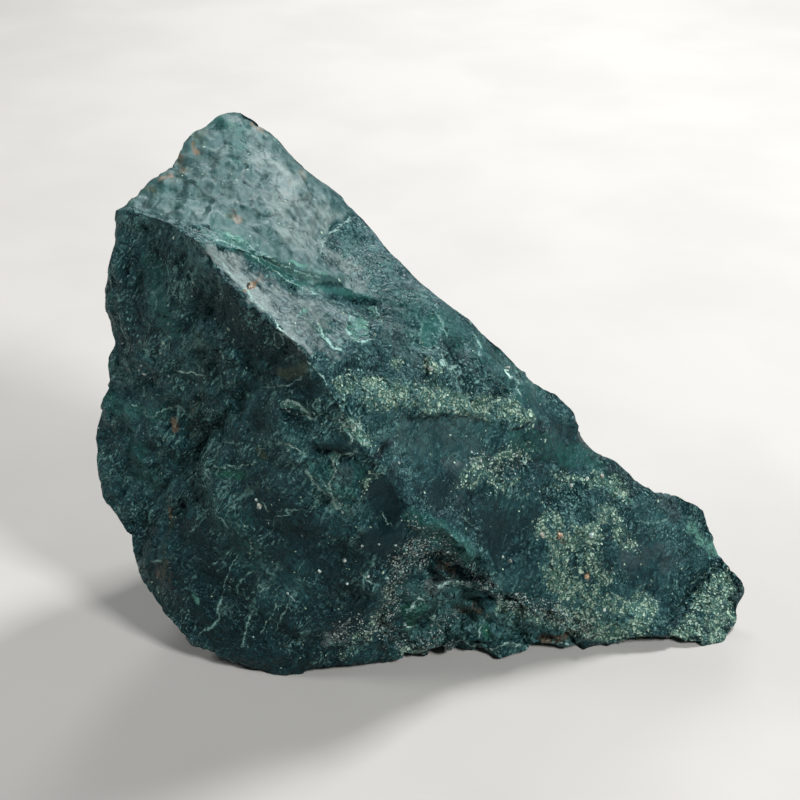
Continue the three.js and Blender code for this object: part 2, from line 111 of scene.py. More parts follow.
@dataclass(frozen=True)
class FrontView:
    """The view from in front of the stone, looking down on it, as a square picture."""

    eye: Triple = (-5.493, -242.81, 169.6)
    tilt: float = math.radians(28)
    lens: float = 70.0
    film: float = 36.0
    side: float = 800.0
    stone_distance: float = 275.0

    @property
    def scale(self) -> float:
        """Picture units per unit of slope."""
        return self.side * self.lens / self.film

    @property
    def unit(self) -> float:
        """Millimetres that one picture unit spans on the stone."""
        return self.stone_distance / self.scale

    def axes(self) -> tuple[np.ndarray, np.ndarray, np.ndarray]:
        """Works out the view's directions.

        Returns:
            The directions right, up and forward.
        """
        right = np.array([1.0, 0.0, 0.0])
        up = np.array([0.0, math.sin(self.tilt), math.cos(self.tilt)])
        forward = np.array([0.0, math.cos(self.tilt), -math.sin(self.tilt)])
        return right, up, forward

    def see(self, points: np.ndarray) -> np.ndarray:
        """Finds where points appear on the picture.

        Args:
            points: Positions in millimetres, one row each.

        Returns:
            Picture positions, one row each.
        """
        right, up, forward = self.axes()
        away = points - np.array(self.eye)
        depth = away @ forward
        across = self.side / 2 + self.scale * (away @ right) / depth
        down = self.side / 2 - self.scale * (away @ up) / depth
        return np.stack([across, down], axis=1)

    def faced(self, points: np.ndarray, normals: np.ndarray) -> np.ndarray:
        """Works out how squarely the surface faces the viewer.

        Args:
            points: Positions in millimetres, one row each.
            normals: The surface's directions there.

        Returns:
            Values from 1 for straight on to -1 for away.
        """
        toward = np.array(self.eye) - points
        toward /= np.linalg.norm(toward, axis=1, keepdims=True)
        return np.einsum("ij,ij->i", toward, normals)


VIEW = FrontView()


def rise(values: np.ndarray, low: float, high: float) -> np.ndarray:
    """Goes smoothly from 0 at low to 1 at high; low may be the larger."""
    share = np.clip((values - low) / (high - low), 0.0, 1.0)
    return share * share * (3.0 - 2.0 * share)


def curved(line: Line, pieces: int = 5) -> np.ndarray:
    """Runs a smooth curve through the points of a line.

    Args:
        line: The points that the curve passes through.
        pieces: How many straight pieces stand for each stretch of the curve.

    Returns:
        The curve's points, one row each.
    """
    knots = np.array(line, float)
    if len(knots) < 3:
        return knots
    padded = np.vstack([2 * knots[0] - knots[1], knots, 2 * knots[-1] - knots[-2]])
    steps = np.arange(pieces) / pieces
    curve = []
    for before, start, end, after in zip(padded, padded[1:], padded[2:], padded[3:]):
        slope = end - before
        bend = 2 * before - 5 * start + 4 * end - after
        twist = 3 * start - before - 3 * end + after
        curve += [0.5 * (2 * start + slope * t + bend * t**2 + twist * t**3) for t in steps]
    return np.array(curve + [knots[-1]])


@dataclass
class Measured:
    """Where points lie against a line: offset is positive to its right, and inf far from it."""

    offset: np.ndarray
    along: np.ndarray
    length: float

    def fade(self, stretch: float) -> np.ndarray:
        """Goes from 1 to 0 over the last stretch, in millimetres, at both ends of the line."""
        ends = np.minimum(self.along, self.length - self.along) * VIEW.unit
        return rise(ends, 0.0, stretch)


def measure(line: np.ndarray, at: np.ndarray, reach: float) -> Measured:
    """Measures how far points lie from a line.

    Args:
        line: The line's points on the picture.
        at: The points to measure, on the picture.
        reach: The distance past which points are left out, in picture units.

    Returns:
        The signed distance and the place along the line of each point.
    """
    offset = np.full(len(at), np.inf)
    along = np.zeros(len(at))
    low = line.min(axis=0) - reach
    high = line.max(axis=0) + reach
    near = np.flatnonzero(((at > low) & (at < high)).all(axis=1))
    spots = at[near]
    best = np.full(len(near), np.inf)
    best_across = np.zeros(len(near))
    best_along = np.zeros(len(near))
    walked = 0.0
    for start, run in zip(line[:-1], line[1:] - line[:-1]):
        length = math.hypot(*run)
        share = np.clip((spots - start) @ run / length**2, 0.0, 1.0)
        away = spots - start - share[:, None] * run
        distance = np.hypot(away[:, 0], away[:, 1])
        across = run[0] * away[:, 1] - run[1] * away[:, 0]
        closer = distance < best
        best[closer] = distance[closer]
        best_across[closer] = across[closer]
        best_along[closer] = walked + share[closer] * length
        walked += length
    within = best < reach
    signed = np.where(best_across >= 0, best, -best)
    offset[near[within]] = signed[within]
    along[near[within]] = best_along[within]
    return Measured(offset, along, walked)


def enclosed(outline: np.ndarray, at: np.ndarray) -> np.ndarray:
    """Tells which points lie inside a closed outline.

    Args:
        outline: The outline's corners.
        at: The points to test.

    Returns:
        True for each point inside.
    """
    inside = np.zeros(len(at), bool)
    for start, end in zip(outline, np.roll(outline, -1, axis=0)):
        if start[1] == end[1]:
            continue
        spans = (at[:, 1] >= min(start[1], end[1])) & (at[:, 1] < max(start[1], end[1]))
        crossing = start[0] + (at[:, 1] - start[1]) * (end[0] - start[0]) / (end[1] - start[1])
        inside ^= spans & (at[:, 0] < crossing)
    return inside


# ---- kinds of feature

PATCH_SPREAD = 2.5  # how far from its line a patch is worked out, in reaches
PATCH_CORE = 0.25  # how far from its line a patch is full, in reaches


@dataclass(frozen=True)
class Patch:
    """A patch of one mark, along a line or filling an outline. Reach is in millimetres.

    A patch that goes through also lies on the far side of the stone, right behind the line.
    """

    mark: Mark
    line: Line
    reach: float = 1.5
    amount: float = 1.0
    filled: bool = False
    through: bool = False

    def cover(self, at: np.ndarray, ragged: np.ndarray) -> np.ndarray:
        """Measures how much of the patch lies on each point.

        Args:
            at: The points on the picture.
            ragged: Noise around 0 that frays the patch's border.

        Returns:
            The mark's amount at each point.
        """
        reach = self.reach / VIEW.unit
        farthest = PATCH_SPREAD * reach
        border = np.vstack([self.line, self.line[:1]]) if self.filled else curved(self.line)
        distance = np.minimum(np.abs(measure(border, at, farthest).offset), farthest)
        if self.filled:
            inside = enclosed(np.array(self.line, float), at)
            distance = np.where(inside, -distance, distance) + reach / 2
        return self.amount * rise(distance + reach * ragged, reach, PATCH_CORE * reach)


@dataclass(frozen=True)
class Seam:
    """A line on the stone: a small step down to its right, a drawn stripe, or both.

    Lengths are in millimetres: drop is the height of the step and run the distance over which
    the lower side climbs back. Width is half the stripe's width, and white is how pale a vein is,
    from 0 to 1.
    """

    line: Line
    drop: float = 0.0
    run: float = 1.6
    stripe: Stripe = Stripe.VEIN
    strength: float = 0.0
    width: float = 0.14
    white: float = 0.3


@dataclass(frozen=True)
class Chip:
    """A shell-shaped hollow: its half width and half height on the picture and its depth.

    Turn is in degrees, clockwise, and depth in millimetres.
    """

    centre: Point
    across: float
    down: float
    depth: float
    turn: float = 0.0

    def hollow(self, at: np.ndarray) -> np.ndarray:
        """Works out how deep the chip is.

        Args:
            at: The points on the picture.

        Returns:
            The depth at each point, in millimetres.
        """
        turn = math.radians(self.turn)
        away = at - np.array(self.centre)
        across = away[:, 0] * math.cos(turn) + away[:, 1] * math.sin(turn)
        down = away[:, 1] * math.cos(turn) - away[:, 0] * math.sin(turn)
        radius = np.hypot(across / self.across, down / self.down)
        return self.depth * np.clip(1.0 - radius**2, 0.0, None)


@dataclass(frozen=True)
class Speck:
    """A single mineral grain that stands proud of the surface.

    It has its place on the picture, its radius in millimetres and a warmth from 0 for white to
    1 for orange.
    """

    at: Point
    radius: float
    warmth: float = 0.25


# ---- the mesh in numbers


def scatter(place: np.ndarray, seed: float) -> np.ndarray:
    """Gives each place three values between 0 and 1 that look random but are always the same.

    Args:
        place: Positions, one row each.
        seed: Which set of values is given.

    Returns:
        The values, one row each.
    """
    stir = np.array([[127.1, 269.5, 419.2], [311.7, 183.3, 371.9], [74.7, 246.1, 124.6]])
    spread, decimals = 43758.5453, 3
    return np.modf(np.abs(np.sin(np.round(place, decimals) @ stir + seed)) * spread)[0]


@dataclass(frozen=True)
class Cells:
    """Where points lie in their cells: distance to the border, the seed, and the way from it."""

    border: np.ndarray
    place: np.ndarray
    away: np.ndarray

    def tilted(self, seed: float) -> np.ndarray:
        """Gives each cell a flat facet of its own tilt and returns its height at each point."""
        tilt = scatter(self.place, seed) - 0.5
        return np.einsum("ij,ij->i", self.away, 2.0 * tilt)


GRAIN_LEAN = math.radians(24)
"""How far the grain of the stone leans to the right."""


@dataclass
class Skin:
    """The refined surface as arrays, in millimetres."""

    mesh: bpy.types.Mesh
    front_fade: Pair = (-0.14, 0.02)
    fold_stretch: Triple = (1.0, 1.0, 1.5)
    fold_bend: float = 0.45
    flake_stretch: Triple = (1.0, 1.0, 2.0)
    points: np.ndarray = field(init=False)
    normals: np.ndarray = field(init=False)
    at: np.ndarray = field(init=False)
    front: np.ndarray = field(init=False)

    def __post_init__(self) -> None:
        """Reads the mesh."""
        self.points = np.empty(len(self.mesh.vertices) * 3, np.float32)
        self.mesh.vertices.foreach_get("co", self.points)
        self.points = self.points.reshape(-1, 3).astype(float) / MM
        self.look_again()

    def look_again(self) -> None:
        """Writes the points to the mesh and works out what depends on them."""
        self.mesh.vertices.foreach_set("co", (self.points * MM).astype(np.float32).ravel())
        self.mesh.update()
        normals = np.empty(len(self.points) * 3, np.float32)
        self.mesh.vertex_normals.foreach_get("vector", normals)
        self.normals = normals.reshape(-1, 3).astype(float)
        self.at = VIEW.see(self.points)
        self.front = rise(VIEW.faced(self.points, self.normals), *self.front_fade)

    def push(self, height: np.ndarray) -> None:
        """Moves each point along its normal by a height."""
        self.points += self.normals * height[:, None]

    def noise(self, wave: float, seed: float, stretch: Triple = (1.0, 1.0, 1.0)) -> np.ndarray:
        """Reads gradient noise at each point.

        Args:
            wave: The length of the waves.
            seed: Which stretch of the noise is read.
            stretch: How much longer the waves are along X, Y and Z.

        Returns:
            Values around 0, mostly within 0.6 of it.
        """
        where = self.points / (wave * np.array(stretch)) + seed
        return np.array([noise.noise(p) for p in where.tolist()])

    def drift(self, wave: float, seed: float) -> np.ndarray:
        """Reads noise that points in all directions, one row for each point of the surface."""
        where = self.points / wave + seed
        return np.array([noise.noise_vector(p)[:] for p in where.tolist()])

    def leaning(self) -> np.ndarray:
        """Turns the points so that their last axis runs along the grain of the stone.

        Returns:
            The turned points, one row each.
        """
        x, y, z = self.points.T
        across = x * math.cos(GRAIN_LEAN) - z * math.sin(GRAIN_LEAN)
        along = x * math.sin(GRAIN_LEAN) + z * math.cos(GRAIN_LEAN)
        return np.stack([across, y, along], axis=1)

    def folds(self, size: float, seed: float, swirl: np.ndarray) -> np.ndarray:
        """Reads a relief of flat facets that meet in sharp creases.

        Args:
            size: The usual width of a facet.
            seed: Which relief is read.
            swirl: A drift that bends the creases, one row for each point.

        Returns:
            Heights between -0.5 and 0.5.
        """
        where = self.leaning() / (size * np.array(self.fold_stretch))
        where = where + self.fold_bend * swirl + seed
        corner = np.floor(where)
        inside = where - corner
        order = np.argsort(-inside, axis=1)
        rows = np.arange(len(where))
        height = np.zeros(len(where))
        left = np.ones(len(where))
        for axis in (*order.T, None):
            share = left if axis is None else left - inside[rows, axis]
            height += share * (scatter(corner, seed)[:, 0] - 0.5)
            if axis is not None:
                left = inside[rows, axis]
                corner[rows, axis] += 1.0
        return height

    def flakes(self, wave: float, steps: float, seed: float) -> np.ndarray:
        """Reads a relief of thin flakes, each of which ends in a small curved step.

        Args:
            wave: The length of the waves that the flakes follow.
            steps: How many steps lie on one wave.
            seed: Which relief is read.

        Returns:
            Heights between -0.5 and 0.5.
        """
        where = self.leaning() / (wave * np.array(self.flake_stretch)) + seed
        level = np.array([noise.noise(p) for p in where.tolist()])
        return np.mod(level * steps, 1.0) - 0.5

    def cells(self, size: float, seed: float, stretch: Triple = (1.0, 1.0, 1.0)) -> Cells:
        """Splits the surface into cells around scattered seeds.

        Args:
            size: The usual distance between seeds.
            seed: Which scatter of seeds is used.
            stretch: How much longer the cells are along X, Y and Z.

        Returns:
            Where each point lies in its cell, in cell sizes.
        """
        where = self.points / (size * np.array(stretch)) + seed
        corner = np.floor(where)
        nearest = np.full(len(where), np.inf)
        second = np.full(len(where), np.inf)
        place = np.zeros_like(where)
        for step in np.ndindex(3, 3, 3):
            cell = corner + np.array(step) - 1.0
            centre = cell + scatter(cell, seed)
            distance = np.linalg.norm(where - centre, axis=1)
            closer = distance < nearest
            second = np.where(closer, nearest, np.minimum(second, distance))
            nearest = np.where(closer, distance, nearest)
            place[closer] = centre[closer]
        return Cells(second - nearest, place, where - place)


# ---- marks on the front

Row = tuple[float | Point, ...]  # a reach in millimetres, an amount, then the points


def along(mark: Mark, *rows: Row, through: bool = False) -> tuple[Patch, ...]:
    """Lays one mark along lines."""
    return tuple(Patch(mark, tuple(line), reach, amount, through=through)
                 for reach, amount, *line in rows)


def filling(mark: Mark, *rows: Row) -> tuple[Patch, ...]:
    """Fills outlines with one mark."""
    return tuple(Patch(mark, tuple(line), reach, amount, filled=True)
                 for reach, amount, *line in rows)


# Places that more than one mark shares
SCARP_OUTLINE: Line = ((196, 226), (218, 231), (262, 254), (300, 280), (345, 288), (380, 300), (340, 296),
                       (300, 288), (262, 264), (215, 242))
GREEN_RIDGE: Line = ((415, 515), (440, 530), (466, 550))
FACET_OUTLINE: Line = ((448, 460), (456, 455), (464, 462), (460, 471), (450, 470))
RIGHT_HOLLOW: Line = ((478, 505), (500, 496), (540, 505), (548, 560), (530, 590), (495, 570))
LEFT_HOLLOW: Line = ((366, 480), (382, 472), (394, 480), (404, 500), (405, 540), (380, 560), (362, 520))
GREEN_SHELL: Line = ((420, 320), (436, 314), (443, 330), (438, 346), (424, 344))

CRUSTED_TOP = (
    *filling(
        Mark.LUMPY,
        (1.2, 1.0, (118, 206), (140, 182), (218, 110), (252, 112), (300, 160), (352, 212), (325, 240),
         (322, 262), (365, 290), (300, 280), (262, 254), (218, 230)),
    ),
    # frost on the crust, part of it painted sheen on the faces that catch the light
    *filling(
        Mark.FROST_AND_SHEEN,
        (2.0, 0.24, (150, 190), (220, 125), (252, 118), (300, 165), (350, 213), (325, 240), (322, 262),
         (350, 284), (310, 278), (262, 246), (200, 218)),
        (3.0, 0.66, (252, 130), (282, 160), (318, 196), (345, 215), (322, 240), (312, 262), (280, 240),
         (262, 200), (246, 160)),
    ),
    *along(
        Mark.FROST_AND_SHEEN,
        (2.4, 0.7, (330, 255), (352, 268), (362, 284)),
        (2.6, 1.2, (268, 158), (284, 176), (292, 196)),
    ),
    *along(
        Mark.TEAL,
        (3.0, 0.8, (222, 118), (238, 135), (236, 160)),
        (3.4, 0.7, (170, 196), (205, 214), (240, 236)),
    ),
    *along(
        Mark.JADE,
        (1.2, 0.55, (228, 120), (240, 134)),
        (1.0, 0.6, (196, 180), (202, 196)),
    ),
    *along(
        Mark.RUST,
        (1.4, 0.75, (178, 160), (185, 169)),
        (0.9, 0.9, (193, 145), (196, 153)),
        (1.0, 0.9, (160, 181), (170, 175)),
        (0.9, 0.8, (256, 125), (264, 130)),
        (1.1, 0.65, (300, 170), (305, 180)),
        (1.4, 0.55, (284, 168), (290, 182), (286, 196)),
        (1.0, 0.8, (234, 210), (240, 220)),
        (0.9, 0.9, (252, 122), (258, 128)),
    ),
    *along(
        Mark.OLIVE,
        (1.6, 0.8, (205, 130), (195, 142)),
        (1.4, 0.9, (132, 196), (142, 188), (150, 190)),
        (1.3, 0.9, (232, 214), (240, 218)),
        (1.4, 0.6, (280, 190), (288, 200)),
    ),
)

SCARP = (
    *filling(Mark.SMOOTH, (0.8, 1.0, *SCARP_OUTLINE)),
    *filling(Mark.TEAL, (0.9, 1.0, *SCARP_OUTLINE)),
    *along(
        Mark.JADE,
        (0.9, 0.9, (226, 232), (240, 241)),
        (1.1, 0.9, (292, 260), (304, 266)),
        (0.8, 0.7, (316, 268), (328, 276)),
    ),
)

FLAT_WITH_PAINTED_SHEEN = (
    *filling(
        Mark.SMOOTH,
        (1.2, 0.75, (212, 250), (290, 284), (330, 296), (366, 306), (366, 350), (330, 372), (270, 315)),
    ),
    # painted sheen on the flat beside the knife ridge, strongest along the ridge
    *filling(
        Mark.FROST_AND_SHEEN,
        (4.0, 0.55, (208, 248), (280, 282), (322, 298), (350, 318), (350, 345), (330, 362), (312, 352),
         (262, 308)),
    ),
    *along(Mark.SMOOTH, (1.6, 0.9, (205, 244), (236, 279), (262, 308), (292, 340), (318, 370))),
    *along(
        Mark.FROST_AND_SHEEN,
        (1.6, 1.6, (214, 253), (238, 279), (262, 303)),
        (1.2, 1.2, (262, 303), (290, 332), (312, 354)),
        (1.4, 1.2, (226, 254), (238, 262)),
    ),
    *along(Mark.OLIVE, (0.7, 0.9, (228, 254), (236, 258))),
    *along(Mark.VIOLET, (4.4, 1.0, (232, 266), (262, 290), (300, 312), (330, 340))),
    *along(
        Mark.RUST,
        (0.9, 1.2, (245, 291), (252, 285)),
        (0.6, 0.8, (256, 281), (263, 275)),
    ),
    *along(Mark.TEAL, (1.8, 0.9, (290, 320), (302, 312), (312, 330))),
)

SLOPE = (
    *along(
        Mark.SMOOTH,
        (2.6, 1.0, (352, 212), (400, 262), (450, 316), (500, 366), (560, 428), (598, 470)),
        (1.8, 0.7, (256, 112), (300, 158), (352, 212)),
        (1.6, 0.6, (140, 182), (180, 146), (218, 110)),
        through=True,
    ),
    *along(Mark.TEAL, (5.0, 0.6, (400, 300), (440, 320), (480, 350), (530, 390))),
    *along(Mark.VIOLET, (4.0, 0.8, (385, 305), (395, 340), (420, 372))),
    *along(Mark.JADE, (3.0, 0.42, (345, 240), (365, 262), (388, 288))),
)

GRAIN_BAND = (
    *along(
        Mark.GRAIN,
        (2.2, 1.1, (345, 386), (380, 384), (402, 399), (425, 405), (460, 404), (485, 406), (510, 412),
         (526, 418)),
        (2.8, 1.2, (370, 396), (405, 398), (450, 402), (500, 408)),
        (1.6, 0.3, (355, 378), (395, 384), (440, 390)),
    ),
    *along(
        Mark.VIOLET,
        (7.0, 0.6, (410, 440), (440, 440), (470, 445), (460, 470)),
        (1.7, 1.4, (450, 462), (460, 467)),
    ),
)

ARM = (
    *filling(
        Mark.GRAIN,
        (1.4, 0.75, (664, 646), (690, 612), (708, 576), (728, 568), (738, 590), (734, 640), (700, 650)),
    ),
    *filling(
        Mark.SMOOTH,
        (1.6, 1.0, (604, 548), (628, 550), (650, 536), (676, 540), (680, 568), (660, 590), (630, 576)),
    ),
    *along(
        Mark.GRAIN,
        (2.5, 1.0, (468, 480), (486, 469), (508, 460)),
        (2.0, 0.4, (508, 458), (530, 452)),
        (1.6, 0.7, (484, 470), (500, 486), (516, 480)),
        (3.2, 0.8, (548, 526), (566, 540), (590, 534), (604, 520)),
        (3.0, 0.9, (556, 545), (560, 570), (572, 592)),
        (2.6, 0.7, (590, 545), (592, 566), (604, 580)),
        (2.2, 0.8, (640, 596), (650, 606), (640, 626), (622, 636)),
        (2.4, 0.9, (565, 612), (590, 620), (604, 632)),
        (2.4, 1.1, (556, 585), (585, 592), (610, 600), (634, 606)),
        (1.9, 0.6, (560, 480), (590, 478), (612, 482), (628, 502)),
        (2.0, 0.5, (612, 512), (618, 530), (630, 545)),
        (1.8, 0.9, (500, 606), (540, 616), (580, 628), (620, 636)),
    ),
    *along(
        Mark.SMOOTH,
        (2.6, 1.0, (640, 508), (652, 516), (662, 522)),
        (2.0, 1.0, (628, 600), (642, 606)),
        (2.6, 1.0, (556, 444), (572, 462), (584, 478)),
    ),
    *along(
        Mark.VIOLET,
        (3.4, 0.9, (632, 560), (655, 552), (670, 562)),
        (2.2, 1.3, (664, 500), (676, 512)),
    ),
    # painted shade on the step and the crease that turn away from the light
    *along(
        Mark.PAINTED_SHADE,
        (2.4, 0.9, (676, 606), (662, 628), (645, 632)),
        (1.4, 0.9, (726, 558), (706, 574), (688, 590)),
    ),
    *along(
        Mark.JADE,
        (2.4, 0.85, (690, 528), (702, 538), (712, 552)),
        (1.8, 0.7, (600, 484), (615, 492), (630, 503)),
        (4.0, 0.45, (690, 620), (712, 596), (728, 582)),
    ),
    *along(
        Mark.RUST,
        (0.9, 1.0, (588, 574), (590, 580)),
        (0.9, 0.9, (558, 534), (562, 540)),
    ),
    *along(Mark.TEAL, (4.0, 0.7, (520, 440), (560, 450), (600, 470))),
)

SALTY_CRESTS = (
    *along(Mark.GRAIN, (1.6, 0.5, (392, 590), (378, 620), (345, 650))),
    *along(
        Mark.SALT,
        (2.6, 1.0, (426, 545), (406, 556), (397, 575), (392, 600), (384, 632)),
        (1.5, 1.1, (440, 552), (456, 558), (470, 570), (482, 584)),
        (2.0, 1.1, (398, 580), (404, 566), (420, 556)),
        (1.7, 1.2, (472, 572), (486, 585), (502, 598), (526, 604), (552, 614), (590, 632)),
        (2.0, 0.6, (540, 600), (560, 612), (585, 622)),
        (1.8, 0.9, (400, 640), (425, 650), (450, 648)),
        (2.0, 0.7, (425, 645), (440, 628), (455, 618)),
        (1.8, 0.5, (410, 522), (428, 534), (446, 544)),
        (2.0, 0.6, (480, 460), (505, 470), (520, 458)),
        (2.0, 0.6, (340, 640), (355, 620), (370, 632)),
    ),
    # painted light along the green ridge
    *along(Mark.LIGHT, (3.2, 2.0, *GREEN_RIDGE)),
    *along(
        Mark.TEAL,
        (3.0, 0.9, *GREEN_RIDGE),
        (2.6, 1.0, (430, 536), (446, 540), (470, 556)),
    ),
    *along(Mark.FROST_AND_SHEEN, (2.2, 0.5, (330, 640), (345, 634))),
)

BRIGHT_KNOTS = (
    *filling(Mark.FROST_AND_SHEEN, (0.6, 0.3, *FACET_OUTLINE)),
    *filling(Mark.SMOOTH, (0.8, 1.0, *FACET_OUTLINE)),
    *along(
        Mark.GRAIN,
        (1.8, 0.35, (340, 420), (352, 430), (366, 440)),
        (1.0, 1.0, (362, 486), (370, 479), (378, 474)),
    ),
    *along(
        Mark.JADE,
        (1.7, 1.25, (346, 424), (355, 430), (364, 440)),
        (1.0, 0.8, (333, 456), (352, 454)),
        (1.0, 0.8, (334, 468), (331, 486), (337, 502), (344, 506)),
    ),
    *along(
        Mark.SALT,
        (0.9, 0.5, (336, 455), (352, 453)),
        (1.6, 0.6, (344, 424), (356, 430), (364, 440)),
        (1.0, 0.4, (333, 480), (334, 495), (342, 505)),
    ),
    *along(Mark.TEAL, (3.0, 0.8, (318, 470), (345, 490), (360, 470))),
    *along(Mark.VIOLET, (2.2, 0.9, (340, 470), (350, 485))),
    # painted shade in a recess and in a pit
    *along(
        Mark.PAINTED_SHADE,
        (2.0, 2.0, (314, 446), (328, 449), (344, 455)),
        (1.0, 2.6, (378, 457), (384, 449), (390, 442)),
    ),
)

# the hollows are smoothed and darkened with painted shade
HOLLOWS_WITH_PAINTED_SHADE = (
    *filling(
        Mark.SMOOTH,
        (1.6, 1.0, *RIGHT_HOLLOW),
        (1.8, 0.8, (400, 420), (500, 420), (520, 440), (465, 500), (405, 500), (370, 440)),
        (1.2, 1.0, *LEFT_HOLLOW),
    ),
    *filling(
        Mark.PAINTED_SHADE,
        (2.0, 0.6, *RIGHT_HOLLOW),
        (1.2, 0.8, *LEFT_HOLLOW),
    ),
)

RUBBLE = (
    *filling(
        Mark.BLOCKY,
        (1.4, 1.0, (398, 568), (430, 552), (478, 560), (520, 598), (590, 632), (560, 650), (400, 662),
         (375, 640)),
    ),
    # painted shadow under the crest of the rubble
    *along(
        Mark.PAINTED_SHADE,
        (2.4, 1.4, (430, 557), (450, 564), (468, 576)),
        (1.6, 1.3, (474, 592), (490, 602), (506, 610)),
    ),
    *along(
        Mark.RUST,
        (1.2, 0.7, (440, 566), (456, 574)),
        (1.8, 0.9, (462, 612), (480, 610)),
        (1.4, 0.9, (545, 638), (572, 634)),
    ),
    *along(
        Mark.EMERALD,
        (2.0, 1.3, (408, 616), (420, 604)),
        (1.4, 1.2, (484, 616), (486, 636)),
    ),
    *along(Mark.JADE, (0.9, 1.0, (404, 624), (414, 626))),
    *along(
        Mark.FROST_AND_SHEEN,
        (1.2, 0.7, (429, 588), (445, 583), (468, 586)),
        (1.6, 0.3, (426, 598), (446, 600)),
        (1.2, 0.9, (405, 650), (430, 650), (450, 648)),
    ),
    *along(Mark.GRAIN, (1.2, 0.7, (404, 650), (420, 652))),
)

# painted light on faces that catch the lamps and painted shade on faces turned from them, with one jade
# streak
PAINTED_LIGHT_AND_SHADE = (
    *along(
        Mark.LIGHT,
        (3.0, 1.5, (215, 238), (262, 258), (300, 282), (345, 292), (385, 300)),
        (4.0, 2.0, (340, 225), (352, 250), (372, 280)),
        (7.0, 1.6, (365, 265), (385, 290), (400, 320), (420, 350)),
        (3.2, 2.2, (345, 386), (402, 399), (460, 404), (526, 418)),
        (5.0, 1.3, (380, 415), (395, 440), (440, 450), (485, 430)),
        (4.0, 0.7, (360, 430), (352, 480)),
        (4.5, 1.2, (556, 545), (565, 590), (610, 605), (645, 608)),
        (4.5, 1.2, (660, 525), (690, 520), (705, 545)),
        (4.5, 2.0, (120, 225), (160, 235), (195, 250)),
        (5.0, 0.5, (110, 380), (125, 430), (150, 460)),
        (5.5, 2.0, (400, 595), (450, 605), (520, 625), (570, 635)),
    ),
    *along(Mark.JADE, (1.6, 0.55, (210, 236), (232, 240), (262, 256), (300, 272), (330, 284))),
    *along(
        Mark.PAINTED_SHADE,
        (2.6, 1.2, (722, 600), (735, 590), (740, 610)),
        (9.0, 1.3, (270, 530), (320, 550), (345, 590), (320, 630)),
        (9.0, 1.5, (190, 550), (215, 600), (240, 630), (300, 650)),
        (6.0, 1.5, (235, 320), (270, 345)),
        (6.0, 1.8, (305, 530), (335, 560), (340, 610)),
        (5.0, 1.0, (450, 355), (470, 372), (495, 388)),
        (6.0, 1.1, (222, 290), (262, 340), (290, 380), (262, 420)),
        (5.0, 1.9, (374, 485), (388, 500), (392, 530), (380, 545)),
        (6.0, 1.6, (540, 436), (580, 455), (615, 475)),
        (5.0, 0.6, (600, 560), (640, 560), (660, 590)),
        (5.5, 1.3, (440, 490), (475, 515), (505, 550)),
        (3.0, 0.4, (420, 375), (460, 375), (480, 390)),
    ),
)

FLAKED_STRETCHES = (
    *along(
        Mark.SCALY,
        (7.0, 1.5, (375, 310), (410, 335), (450, 360), (500, 385)),
        (6.0, 1.6, (285, 410), (310, 450), (340, 480)),
        (5.0, 0.8, (480, 460), (540, 470), (600, 500)),
        (4.0, 1.2, (430, 535), (455, 545), (480, 570)),
    ),
)

JADE_SHELLS = (
    *filling(
        Mark.JADE,
        (0.8, 0.71, (348, 318), (358, 313), (372, 322), (372, 337), (356, 339), (347, 331)),
    ),
    *filling(
        Mark.SMOOTH,
        (1.0, 1.0, (350, 318), (360, 313), (372, 322), (372, 337), (356, 339), (347, 331)),
        (0.8, 1.0, *GREEN_SHELL),
    ),
    *filling(Mark.TEAL, (1.2, 1.2, *GREEN_SHELL)),
    *along(
        Mark.JADE,
        (1.2, 0.75, (373, 308), (380, 320)),
        (1.0, 0.9, (297, 315), (306, 310)),
        (0.9, 0.7, (452, 354), (458, 360)),
    ),
    *along(Mark.EMERALD, (1.2, 0.9, (362, 318), (368, 330))),
    *along(Mark.SMOOTH, (1.6, 0.9, (322, 320), (334, 332), (344, 340))),
    *along(Mark.TEAL, (2.0, 0.9, (320, 318), (335, 330), (345, 345))),
    *along(
        Mark.GRAIN,
        (1.1, 1.0, (425, 366), (432, 372)),
        (0.9, 0.9, (394, 362), (400, 366)),
    ),
)

